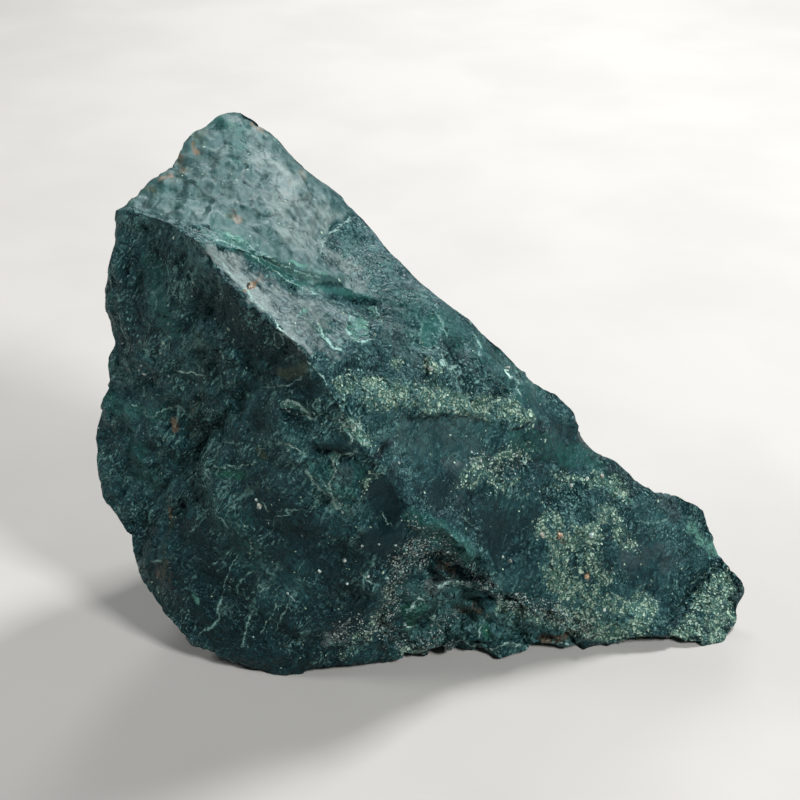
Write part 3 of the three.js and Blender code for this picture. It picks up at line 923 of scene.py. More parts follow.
DARK_FACE = (
    *filling(
        Mark.SCALY,
        (3.0, 1.0, (118, 208), (205, 245), (262, 310), (270, 400), (210, 500), (150, 570), (98, 430)),
    ),
    *filling(Mark.SMOOTH, (4.0, 0.45, (240, 560), (280, 620), (330, 600), (300, 540))),
    *along(
        Mark.TEAL,
        (3.0, 0.7, (150, 262), (160, 300), (168, 330)),
        (2.4, 0.8, (110, 400), (130, 410), (160, 412)),
        (3.0, 0.6, (130, 440), (140, 470), (150, 480)),
        (5.0, 0.5, (215, 500), (240, 530), (250, 560)),
    ),
    *along(
        Mark.SALT,
        (1.6, 0.18, (146, 366), (158, 374), (170, 380)),
        (1.3, 0.5, (284, 405), (294, 409), (300, 416)),
    ),
    *along(
        Mark.JADE,
        (2.6, 0.22, (150, 340), (160, 360), (165, 385)),
        (1.0, 0.85, (284, 403), (298, 408), (311, 419)),
        (0.8, 0.9, (245, 396), (252, 398)),
        (1.0, 0.8, (191, 590), (197, 602)),
        (0.8, 0.6, (215, 468), (240, 466), (258, 461)),
    ),
    *along(
        Mark.OLIVE,
        (1.8, 0.6, (205, 345), (198, 400), (190, 440)),
        (1.4, 0.7, (168, 500), (166, 545), (160, 590)),
        (2.4, 0.5, (290, 352), (304, 368)),
        (0.9, 1.0, (256, 448), (264, 458)),
        (2.2, 0.6, (200, 332), (202, 372)),
        (1.8, 0.9, (278, 374), (292, 376), (304, 370)),
    ),
    *along(Mark.EMERALD, (1.1, 0.9, (220, 474), (240, 476))),
    *along(
        Mark.RUST,
        (0.9, 0.9, (173, 420), (175, 432)),
        (0.9, 0.7, (168, 510), (166, 518)),
        (0.9, 0.6, (168, 544), (167, 550)),
        (1.0, 0.6, (157, 572), (156, 584)),
        (1.2, 0.5, (193, 395), (193, 430)),
        (0.9, 0.6, (168, 560), (168, 582)),
    ),
)

Vein = tuple[float | Point, ...]  # strength, white, width and drop, then the points


def veins(*rows: Vein) -> tuple[Seam, ...]:
    """Makes seams that show as veins."""
    return tuple(Seam(tuple(line), strength=strength, white=white, width=width, drop=drop)
                 for strength, white, width, drop, *line in rows)


def crust_crack_and_shade(line: Line) -> Seam:
    """Makes one of the dark lines that part the lumps of the crust: a small step with painted shade in
    it.
    """
    return Seam(line, drop=0.35, run=1.2, stripe=Stripe.CRACK_AND_SHADOW, strength=0.45, width=0.16)


MAIN_STEPS = (
    Seam(((215, 240), (233, 245), (258, 260), (280, 274), (300, 288), (320, 294)),
         drop=0.5, run=1.4, strength=0.9, white=0.4),
    Seam(((226, 233), (250, 246), (275, 262), (300, 272), (322, 278)),
         drop=0.7, run=1.4, strength=0.7, white=0.3),
    # a painted highlight: a thin pale line along the knife ridge
    Seam(((203, 243), (232, 276), (262, 308), (292, 340), (322, 377), (331, 396)),
         strength=0.55, white=0.7, width=0.11),
    Seam(((352, 216), (338, 228), (325, 238), (321, 254)), drop=1.1, run=5.0, strength=0.5, white=0.8),
    Seam(((292, 338), (258, 372), (228, 405), (201, 440), (170, 478), (145, 508), (124, 526)),
         drop=-0.8, run=4.5),
)

CRUST_CRACKS_AND_SHADE = tuple(map(crust_crack_and_shade, (
    ((202, 150), (214, 160), (212, 176), (224, 186), (220, 202)),
    ((214, 160), (232, 156), (246, 164), (244, 180), (256, 188)),
    ((256, 188), (252, 206), (264, 216), (282, 214)),
    ((246, 134), (262, 146), (266, 162), (280, 170)),
    ((280, 170), (276, 188), (290, 202), (306, 200), (318, 212)),
    ((176, 186), (192, 182), (202, 194), (218, 202)),
    ((282, 214), (290, 228), (306, 232), (312, 246)),
    ((232, 206), (240, 222), (256, 230), (270, 244)),
)))

FACE_VEINS = (
    # painted shadow: a dark line along the crease of the dark face
    Seam(((222, 418), (201, 440), (172, 476), (148, 506)), stripe=Stripe.CRACK_AND_SHADOW, strength=0.5, width=0.5),
    *veins(
        (1.0, 0.6, 0.14, 0.2, (173, 371), (191, 373), (205, 376)),
        (0.8, 0.5, 0.14, 0.0, (128, 404), (140, 406)),
        (0.4, 0.5, 0.14, 0.25, (259, 387), (285, 385), (305, 375)),
        (0.5, 0.2, 0.14, 0.2, (285, 363), (288, 357), (295, 353)),
        (0.6, 0.3, 0.14, 0.0, (150, 547), (161, 548)),
        (0.6, 0.3, 0.14, 0.0, (150, 561), (164, 562)),
        (1.0, 0.9, 0.13, 0.0, (274, 317), (279, 327), (287, 334), (296, 340), (309, 358)),
        (0.5, 0.3, 0.14, 0.0, (237, 502), (235, 517), (239, 528)),
        (0.8, 0.9, 0.10, 0.0, (360, 573), (367, 580), (377, 584)),
        (0.5, 0.7, 0.10, 0.0, (381, 511), (386, 520), (393, 526)),
        (0.9, 0.6, 0.28, 0.4, (331, 456), (335, 470), (330, 485), (336, 503)),
        (0.6, 0.9, 0.10, 0.0, (284, 590), (290, 596), (294, 604)),
        (0.6, 0.3, 0.14, 0.15, (143, 406), (145, 416), (153, 417), (159, 411), (173, 407), (181, 407),
         (187, 414)),
        (0.9, 0.3, 0.14, 0.3, (201, 470), (219, 467), (241, 466), (257, 462)),
        (0.5, 0.3, 0.14, 0.0, (203, 470), (213, 483)),
        (0.5, 0.3, 0.14, 0.2, (215, 454), (223, 443), (233, 443), (240, 445)),
        (0.6, 0.3, 0.14, 0.2, (257, 456), (269, 443), (287, 446)),
        (0.9, 0.8, 0.16, 0.0, (287, 454), (288, 444), (305, 455)),
        (1.0, 0.6, 0.30, 0.4, (285, 404), (289, 400), (301, 408), (313, 420)),
        (0.7, 0.6, 0.14, 0.3, (313, 420), (322, 414), (336, 420)),
        (0.8, 0.5, 0.14, 0.5, (331, 460), (343, 454), (359, 454)),
        (0.9, 0.4, 0.30, 0.3, (305, 464), (311, 480), (325, 494), (335, 505), (342, 508)),
        (0.5, 0.3, 0.14, 0.0, (221, 510), (233, 505), (240, 500)),
        (0.5, 0.3, 0.14, 0.0, (283, 508), (291, 511), (305, 510)),
        (0.4, 0.3, 0.14, 0.0, (261, 517), (273, 521)),
        (0.8, 0.2, 0.13, 0.4, (239, 554), (233, 562), (227, 574), (223, 586), (221, 598), (217, 610),
         (219, 616), (213, 626), (205, 630), (197, 636)),
        (0.8, 0.3, 0.14, 0.3, (276, 581), (268, 588), (253, 594)),
        (0.8, 0.2, 0.14, 0.3, (254, 609), (249, 620), (245, 635), (241, 648)),
        (0.6, 0.3, 0.14, 0.25, (279, 599), (272, 615), (264, 627), (261, 636)),
        (0.6, 0.1, 0.14, 0.25, (255, 570), (245, 576), (239, 583), (237, 596)),
        (0.5, 0.2, 0.14, 0.15, (224, 556), (213, 566), (207, 570)),
        (0.6, 0.2, 0.12, 0.0, (233, 548), (224, 556), (212, 566)),
        (0.6, 0.2, 0.12, 0.0, (262, 583), (254, 592), (246, 600)),
        (0.5, 0.3, 0.10, 0.0, (290, 602), (282, 614), (278, 628), (270, 640)),
        (0.4, 0.2, 0.10, 0.0, (305, 560), (298, 572), (300, 584)),
        (0.6, 0.4, 0.10, 0.2, (262, 500), (268, 512), (278, 516), (300, 511)),
        (0.5, 0.2, 0.12, 0.0, (270, 512), (274, 524), (272, 536)),
        (0.4, 0.3, 0.10, 0.0, (192, 502), (197, 509), (198, 520)),
        (0.5, 0.3, 0.12, 0.0, (186, 540), (192, 530), (200, 525)),
        (0.6, 0.5, 0.12, 0.0, (214, 516), (222, 520), (228, 530)),
    ),
    # painted shadow under a small step near the apex
    Seam(((170, 264), (180, 258), (189, 250)),
         drop=0.5, run=1.6, stripe=Stripe.CRACK_AND_SHADOW, strength=0.6, width=0.3),
    *veins(
        (0.4, 0.2, 0.12, 0.0, (150, 290), (156, 300), (154, 315)),
        (0.5, 0.3, 0.12, 0.0, (160, 330), (170, 338), (168, 352)),
        (0.5, 0.3, 0.10, 0.0, (140, 352), (152, 356), (166, 352)),
        (0.4, 0.2, 0.12, 0.0, (212, 278), (220, 286), (222, 298)),
        (0.4, 0.2, 0.10, 0.0, (112, 300), (118, 318), (114, 335)),
        (0.5, 0.4, 0.10, 0.0, (276, 330), (282, 336), (284, 344), (278, 348), (274, 340), (276, 330)),
        (0.4, 0.1, 0.10, 0.0, (225, 398), (228, 408), (222, 416)),
        (0.5, 0.3, 0.12, 0.0, (320, 395), (314, 402), (312, 410)),
    ),
)

RUBBLE_EDGES = (
    *veins(
        (1.0, 0.6, 0.22, 0.0, (406, 615), (412, 605), (419, 599), (428, 603)),
        (1.0, 0.8, 0.20, 0.0, (403, 623), (409, 627), (415, 624)),
        (0.9, 0.6, 0.16, 0.0, (478, 640), (480, 630), (485, 620), (490, 612)),
        (0.8, 0.4, 0.14, 0.0, (494, 610), (498, 618), (496, 626)),
        (1.0, 0.6, 0.30, 0.0, (428, 590), (441, 584), (458, 582), (470, 587)),
        (0.8, 0.4, 0.14, 0.0, (440, 600), (436, 612), (428, 622)),
        (0.9, 0.7, 0.22, 0.0, (455, 640), (472, 645), (492, 650), (509, 644), (534, 648), (576, 642)),
        (0.5, 0.4, 0.12, 0.0, (500, 620), (516, 616), (534, 622)),
    ),
)

SHELL_LIPS = (
    *veins(
        (1.0, 0.25, 0.24, -0.5, (357, 313), (350, 317), (346, 327), (348, 334), (354, 339), (364, 341),
         (373, 338)),
        (1.0, 0.25, 0.22, -0.5, (318, 325), (325, 338), (333, 346), (343, 350)),
        (0.8, 0.3, 0.26, -0.3, (419, 341), (424, 346), (431, 349), (440, 346)),
        (0.5, 0.1, 0.20, 0.25, (436, 313), (444, 327), (447, 341)),
        (1.0, 0.4, 0.28, -0.3, (445, 353), (442, 361), (449, 368), (459, 366)),
        (0.7, 0.2, 0.20, 0.2, (472, 332), (479, 343), (478, 358)),
        (1.0, 0.9, 0.26, 0.0, (506, 366), (508, 374), (513, 379)),
        (1.0, 0.3, 0.36, 0.0, (519, 378), (517, 388), (522, 397)),
        (0.5, 0.1, 0.20, 0.2, (405, 327), (412, 338), (411, 350)),
        (0.4, 0.1, 0.20, 0.0, (414, 313), (421, 325), (419, 339)),
        (0.5, 0.2, 0.16, 0.0, (330, 300), (345, 306), (352, 318)),
        (0.7, 0.4, 0.20, 0.0, (372, 305), (380, 314), (382, 325)),
        (0.5, 0.2, 0.18, 0.0, (462, 395), (456, 380), (462, 368)),
        (0.5, 0.2, 0.18, 0.0, (489, 392), (484, 380), (492, 374)),
        (1.0, 0.7, 0.22, 0.3, (342, 425), (350, 420), (360, 426), (367, 436), (362, 446)),
        (0.9, 0.6, 0.16, 0.0, (345, 431), (352, 437), (350, 446)),
        (0.6, 0.5, 0.14, 0.0, (356, 420), (364, 416), (368, 424)),
        (0.3, 0.1, 0.12, 0.3, (446, 464), (448, 457), (455, 454), (463, 459)),
    ),
    # painted shadow along the top edge below the band
    Seam(((404, 419), (440, 416), (470, 417), (494, 427)),
         stripe=Stripe.CRACK_AND_SHADOW, strength=0.55, width=0.45),
)

SCAR_EDGES = (
    # painted shade in a dark pit
    Seam(((378, 458), (383, 449), (389, 441)), stripe=Stripe.CRACK_AND_SHADOW, strength=0.9, width=0.6),
    Seam(((392, 440), (396, 444), (394, 452)), strength=0.5, white=0.5, width=0.1),
    Seam(((386, 470), (400, 500), (405, 540)), drop=-0.6, run=2.2),
    # painted shade in a recess
    Seam(((325, 448), (340, 452), (346, 458)),
         drop=0.7, run=1.5, stripe=Stripe.CRACK_AND_SHADOW, strength=0.8, width=0.25),
    Seam(((443, 500), (460, 515), (483, 533)), drop=0.35, run=1.8, strength=0.2),
)

BAND_EDGES = (
    Seam(((398, 420), (440, 416), (480, 418), (508, 428)), drop=0.5, run=2.4),
    Seam(((512, 430), (522, 427), (533, 421)),
         drop=0.4, run=1.0, stripe=Stripe.CRACK_AND_SHADOW, strength=1.0, width=0.22),
)

TIP_EDGES = (
    # painted shade along the sunken crease of the tip
    Seam(((722, 560), (712, 572), (700, 582), (688, 596), (680, 606), (674, 626), (668, 642)),
         drop=-0.5, run=2.0, stripe=Stripe.CRACK_AND_SHADOW, strength=0.5, width=0.3),
    Seam(((686, 588), (698, 580), (706, 576)), drop=0.3, run=0.8, strength=0.4),
    Seam(((640, 518), (650, 524), (664, 520), (672, 514)), drop=0.3, strength=0.4, white=0.2),
)

RUBBLE_STEPS = (
    Seam(((425, 575), (440, 556), (460, 556), (476, 572)), drop=1.2, run=2.6),
    Seam(((438, 590), (455, 585), (478, 588)), drop=0.8, run=1.6, strength=0.4, white=0.5),
    Seam(((405, 642), (425, 650), (442, 648)), drop=0.5, run=1.0, strength=0.5, white=0.8),
    Seam(((400, 604), (412, 612), (424, 606)), drop=0.5, run=1.2, strength=0.5, white=0.1),
)


@dataclass(frozen=True)
class FrontMarks:
    """Everything that can be pointed at on the front of the stone."""

    patches: tuple[Patch, ...] = (
        *CRUSTED_TOP, *SCARP, *FLAT_WITH_PAINTED_SHEEN, *SLOPE, *GRAIN_BAND, *ARM, *SALTY_CRESTS,
        *BRIGHT_KNOTS, *HOLLOWS_WITH_PAINTED_SHADE, *RUBBLE, *PAINTED_LIGHT_AND_SHADE, *FLAKED_STRETCHES,
        *JADE_SHELLS, *DARK_FACE,
    )
    seams: tuple[Seam, ...] = (
        *MAIN_STEPS, *CRUST_CRACKS_AND_SHADE, *FACE_VEINS, *RUBBLE_EDGES, *SHELL_LIPS, *SCAR_EDGES,
        *BAND_EDGES, *TIP_EDGES, *RUBBLE_STEPS,
    )
    chips: tuple[Chip, ...] = tuple(Chip(*row) for row in (
        ((360, 327), 14, 12, 0.6),
        ((334, 334), 17, 11, 0.45, 30),
        ((430, 334), 12, 14, 0.6),
        ((450, 360), 8, 7, 0.45),
        ((384, 449), 9, 5.5, 0.6, -50),
        ((516, 386), 6, 9, 0.4),
        ((300, 312), 9, 6, 0.3, -30),
        ((347, 268), 14, 11, 0.7, 30),
        ((354, 429), 6, 5, 0.6),
        ((330, 451), 16, 6, 0.9, 10),
        ((349, 478), 14, 16, 0.4),
        ((385, 505), 18, 30, 0.6, 10),
        ((455, 445), 46, 30, 0.7, 8),
        ((449, 566), 26, 9, 1.5, 26),
        ((490, 601), 20, 7, 1.1, 28),
        ((469, 614), 13, 7, 0.9, -10),
        ((486, 626), 5, 15, 0.6),
        ((557, 637), 17, 5, 0.8, -6),
        ((461, 644), 7, 5, 0.9),
        ((512, 545), 32, 42, 0.5, 20),
        ((636, 604), 11, 8, 0.4),
    ))
    specks: tuple[Speck, ...] = tuple(Speck(*row) for row in (
        ((259, 507), 0.60, 0.35),
        ((255, 499), 0.32, 0.0),
        ((543, 535), 0.62, 0.45),
        ((560, 537), 0.70, 0.8),
        ((591, 536), 0.62, 0.0),
        ((570, 487), 0.45),
        ((601, 475), 0.50, 0.3),
        ((587, 478), 0.42, 0.1),
        ((586, 577), 0.50, 0.9),
        ((510, 562), 0.45),
        ((502, 557), 0.30, 0.0),
        ((430, 368), 0.45, 0.3),
        ((425, 366), 0.30, 0.3),
        ((508, 368), 0.50, 0.3),
        ((345, 560), 0.42, 0.2),
        ((320, 571), 0.32, 0.0),
        ((347, 583), 0.28, 0.0),
        ((369, 576), 0.30, 0.0),
        ((362, 545), 0.26, 0.0),
        ((395, 544), 0.30, 0.0),
        ((377, 545), 0.24, 0.0),
        ((289, 594), 0.30, 0.0),
        ((447, 551), 0.45, 0.0),
        ((174, 238), 0.34, 0.1),
        ((248, 287), 0.50, 0.7),
        ((251, 285), 0.42, 0.5),
        ((354, 429), 0.50, 0.1),
        ((400, 463), 0.30, 0.0),
        ((480, 461), 0.34, 0.1),
        ((560, 592), 0.36, 0.2),
        ((604, 610), 0.36, 0.2),
    ))


# ---- breaking the stone

UNSEEN: dict[Mark, Triple] = {
    Mark.SMOOTH: (0.8, 0.05, 0.2),
    Mark.LUMPY: (1.0, 0.35, 0.6),
    Mark.BLOCKY: (1.0, 0.0, 6.0),
    Mark.SCALY: (0.45, -0.2, 0.1),
    Mark.GRAIN: (0.8, 0.24, 0.44),
    Mark.FROST_AND_SHEEN: (0.35, 0.3, 0.7),
    Mark.RUST: (0.5, 0.44, 0.62),
    Mark.JADE: (0.4, 0.34, 0.50),
    Mark.TEAL: (0.5, 0.05, 0.3),
    Mark.EMERALD: (0.6, 0.34, 0.44),
    Mark.OLIVE: (0.5, 0.2, 0.4),
    Mark.VIOLET: (0.8, 0.0, 0.3),
    Mark.PAINTED_SHADE: (0.9, -0.1, 0.3),
    Mark.LIGHT: (0.5, 0.1, 0.4),
    Mark.SALT: (0.6, 0.38, 0.52),
}
"""The marks of the unseen sides: their amount, and where their noise starts and is full."""


@dataclass
class RoughSkin:
    """Gives the refined surface its relief and works out where each mark lies.

    Waves, sizes and heights are in millimetres. Frays are pairs of a wave and its share, facets
    pairs of a size and a height. The tremor's wave and size are shares of the wander's.
    """

    skin: Skin
    marks: FrontMarks = field(default_factory=FrontMarks)
    frays: tuple[Pair, ...] = ((3.0, 0.55), (1.3, 0.35))
    unseen_waves: Pair = (16.0, 5.0)
    unseen_finer: float = 0.45
    crust_fray: float = 0.3
    frost_and_sheen_fray: float = 0.5
    rubble_fray: float = 14.0
    rubble_top: float = 12.0
    least_scaly: float = 0.15
    wander: float = 0.26
    wander_wave: float = 4.2
    wander_calm: float = 0.6
    tremor_wave: float = 0.45
    tremor: float = 0.5
    step_reach: float = 3.0
    step_taper: float = 1.2
    calm: float = 0.8
    facets: tuple[Pair, ...] = ((6.0, 2.0), (3.0, 1.25), (1.6, 0.45))
    swirl_wave: float = 7.0
    flake_wave: float = 7.0
    flake_steps: float = 2.6
    flake_height: float = 0.45
    least_flaked: float = 0.45
    more_flaked: float = 0.65
    lump_waves: Pair = (4.0, 1.9)
    lump_stretch: Triple = (1.0, 2.2, 1.0)
    lump_finer: float = 0.6
    lump_level: float = 0.45
    lump_crease: float = 1.6
    lump_height: float = 0.42
    grit_wave: float = 1.2
    grit_height: float = 0.25
    least_grit: float = 0.25
    grain_grit: float = 1.5
    block_size: float = 3.8
    block_stretch: Triple = (1.0, 1.0, 0.8)
    block_height: float = 1.6
    block_tilt: float = 0.8
    groove_depth: float = 0.25
    groove_width: float = 0.15
    full_relief: float = 0.5
    stripe_reach: float = 1.6
    stripe_fade: Pair = (1.5, 0.9)
    stripe_taper: float = 0.8
    usual_width: float = 0.15
    far_off: float = 9.0
    in_sight: float = 0.3
    relief: np.ndarray = field(init=False)
    amounts: dict[Mark, np.ndarray] = field(default_factory=dict)
    stripes: dict[str, np.ndarray] = field(default_factory=dict)

    def break_up(self) -> None:
        """Runs the stages in order, from the largest forms to the finest."""
        self.place_marks()
        self.jag()
        self.skin.look_again()
        self.cut_steps()
        self.scoop()
        self.roughen()
        self.skin.look_again()
        self.draw_stripes()

    def spot(self, at: Point) -> tuple[Vector, Vector]:
        """Finds the point of the surface that shows at a place on the picture.

        Args:
            at: The place on the picture.

        Returns:
            The point and its normal, in millimetres.
        """
        skin = self.skin
        away = np.linalg.norm(skin.at - np.array(at), axis=1)
        chosen = int(np.argmin(np.where(skin.front < self.in_sight, np.inf, away)))
        return Vector(skin.points[chosen]), Vector(skin.normals[chosen])

    def hidden(self, mark: Mark) -> np.ndarray:
        """Lays a mark on the sides that the front view doesn't reach.

        Args:
            mark: The mark to lay.

        Returns:
            The mark's amount at each point.
        """
        skin = self.skin
        order = list(Mark).index(mark)
        wide, narrow = self.unseen_waves
        broad = skin.noise(wide, seed=11.0 + 7.0 * order)
        patchy = broad + self.unseen_finer * skin.noise(narrow, seed=3.0 + 5.0 * order)
        up, above = skin.normals[:, 2], skin.points[:, 2]
        if mark is Mark.LUMPY:
            patchy = up + self.crust_fray * broad
        elif mark is Mark.BLOCKY:
            patchy = self.rubble_top - above + self.rubble_fray * broad
        # frost and painted sheen on the faces turned up
        elif mark is Mark.FROST_AND_SHEEN:
            patchy = up + self.frost_and_sheen_fray * patchy
        least = self.least_scaly if mark is Mark.SCALY else 0.0
        amount, low, high = UNSEEN[mark]
        return least + amount * rise(patchy, low, high)

    def place_marks(self) -> None:
        """Works out how much of each mark lies on each point."""
        skin = self.skin
        ragged = sum(share * skin.noise(wave, 40.0 + i) for i, (wave, share) in enumerate(self.frays))
        front = {mark: np.zeros(len(skin.points)) for mark in Mark}
        through = {mark: np.zeros(len(skin.points)) for mark in Mark}
        for patch in self.marks.patches:
            laid = patch.cover(skin.at, ragged)
            front[patch.mark] = np.maximum(front[patch.mark], laid)
            if patch.through:
                through[patch.mark] = np.maximum(through[patch.mark], laid)
        for mark in Mark:
            shown = skin.front * front[mark] + (1.0 - skin.front) * self.hidden(mark)
            self.amounts[mark] = np.maximum(shown, through[mark])

    def jag(self) -> None:
        """Shifts points sideways as well as outwards, which gives ridges and outline their jags."""
        skin = self.skin
        calm = 1.0 - self.wander_calm * self.amounts[Mark.SMOOTH]
        shift = skin.drift(self.wander_wave, seed=50.0) * self.wander
        finer = skin.drift(self.tremor_wave * self.wander_wave, seed=51.0)
        shift += finer * self.wander * self.tremor
        skin.points += shift * calm[:, None]
        self.rest_on_floor()

    def rest_on_floor(self) -> None:
        """Keeps every point at or above the surface that the stone stands on."""
        self.skin.points[:, 2] = np.maximum(self.skin.points[:, 2], 0.0)

    def cut_steps(self) -> None:
        """Cuts the step of each seam, which climbs back over about three times its run."""
        skin = self.skin
        height = np.zeros(len(skin.points))
        for seam in self.marks.seams:
            if not seam.drop:
                continue
            reach = self.step_reach * seam.run / VIEW.unit
            found = measure(curved(seam.line), skin.at, reach)
            low_side = found.offset >= 0 if seam.drop > 0 else found.offset < 0
            away = np.abs(found.offset) * VIEW.unit
            fade = np.exp(-away / seam.run) * found.fade(self.step_taper)
            height -= np.where(low_side & np.isfinite(found.offset), abs(seam.drop) * fade, 0.0)
        skin.push(height * skin.front)

    def scoop(self) -> None:
        """Scoops out the chips."""
        skin = self.skin
        height = np.zeros(len(skin.points))
        for chip in self.marks.chips:
            height -= chip.hollow(skin.at)
        skin.push(height * skin.front)

    def roughen(self) -> None:
        """Adds flakes, lumps, grit and blocks, each where its mark lies."""
        calm = 1.0 - self.calm * np.minimum(self.amounts[Mark.SMOOTH], 1.0)
        height = self.flaked(calm)
        height += self.lumped(calm)
        height += self.gritty(calm)
        height += self.blocked()
        self.relief = np.clip(height / self.full_relief, -1.0, 1.0)
        self.skin.push(height)
        self.rest_on_floor()

    def flaked(self, calm: np.ndarray) -> np.ndarray:
        """Works out the relief of facets and thin flakes.

        Args:
            calm: How much of the relief each point takes, less where the stone is smooth.

        Returns:
            The height at each point.
        """
        skin = self.skin
        scaly = calm * (self.least_flaked + self.more_flaked * self.amounts[Mark.SCALY])
        swirl = skin.drift(self.swirl_wave, seed=61.0)
        height = np.zeros(len(skin.points))
        for i, (size, depth) in enumerate(self.facets):
            height += depth * skin.folds(size, 65.0 + i, swirl) * scaly
        height += self.flake_height * skin.flakes(self.flake_wave, self.flake_steps, 60.0) * scaly
        return height

    def lumped(self, calm: np.ndarray) -> np.ndarray:
        """Works out the relief of the crust: round lumps with creases between them.

        Args:
            calm: How much of the relief each point takes.

        Returns:
            The height at each point.
        """
        wide, narrow = self.lump_waves
        coarse = np.abs(self.skin.noise(wide, seed=62.0, stretch=self.lump_stretch))
        finer = np.abs(self.skin.noise(narrow, seed=63.0, stretch=self.lump_stretch))
        lumps = self.lump_level - self.lump_crease * (coarse + self.lump_finer * finer)
        return self.lump_height * self.amounts[Mark.LUMPY] * calm * lumps

    def gritty(self, calm: np.ndarray) -> np.ndarray:
        """Works out the fine grit, which is coarser among the mineral grains."""
        among = self.least_grit + self.grain_grit * self.amounts[Mark.GRAIN]
        return self.grit_height * self.skin.noise(self.grit_wave, seed=64.0) * among * calm

    def blocked(self) -> np.ndarray:
        """Works out the relief of the rubble.

        Returns:
            The height at each point: blocks at their own levels, tilted and parted by grooves.
        """
        blocks = self.skin.cells(self.block_size, 70.0, self.block_stretch)
        lift = scatter(blocks.place, 5.0)[:, 0] - 0.5
        groove = self.groove_depth * rise(blocks.border, self.groove_width, 0.0)
        shape = lift + self.block_tilt * blocks.tilted(6.0) - groove
        return self.block_height * self.amounts[Mark.BLOCKY] * shape

    def draw_stripes(self) -> None:
        """Works out where the nearest stripe of each kind lies and how it looks there."""
        skin = self.skin
        count = len(skin.points)
        for kind in Stripe:
            offset, strength = np.full(count, self.far_off), np.zeros(count)
            width, white = np.full(count, self.usual_width), np.zeros(count)
            for seam in self.marks.seams:
                if seam.stripe is not kind or not seam.strength:
                    continue
                found = measure(curved(seam.line), skin.at, self.stripe_reach / VIEW.unit)
                away = found.offset * VIEW.unit
                shown = seam.strength * found.fade(self.stripe_taper)
                shown *= rise(np.abs(away), *self.stripe_fade)
                closer = np.abs(away) < np.abs(offset)
                offset[closer] = away[closer]
                strength[closer] = shown[closer]
                width[closer] = seam.width
                white[closer] = seam.white
            self.stripes |= {
                f"{kind.value}_offset": offset,
                f"{kind.value}_strength": strength * skin.front,
                f"{kind.value}_width": width,
                f"{kind.value}_white": white,
            }


# ---- materials

Socket = bpy.types.NodeSocket
Feed = Socket | float | tuple[float, ...]
MIX_UNDER, MIX_OVER, MIX_RESULT = 6, 7, 2  # the mix node's sockets for colours


def colour4(colour: Feed) -> Feed:
    """Adds the fourth value that colour sockets want to a plain colour."""
    return (*colour, 1.0) if isinstance(colour, tuple) else colour


@dataclass(frozen=True)
class Cloud:
    """Cloudy noise: the size of its features in millimetres, its detail and its roughness."""

    size: float
    detail: float = 2.0
    rough: float = 0.5


@dataclass(frozen=True)
class Wash:
    """A colour that covers the ground as a value goes from low to high, up to a strength."""

    colour: Colour
    low: float
    high: float
    strength: float = 1.0


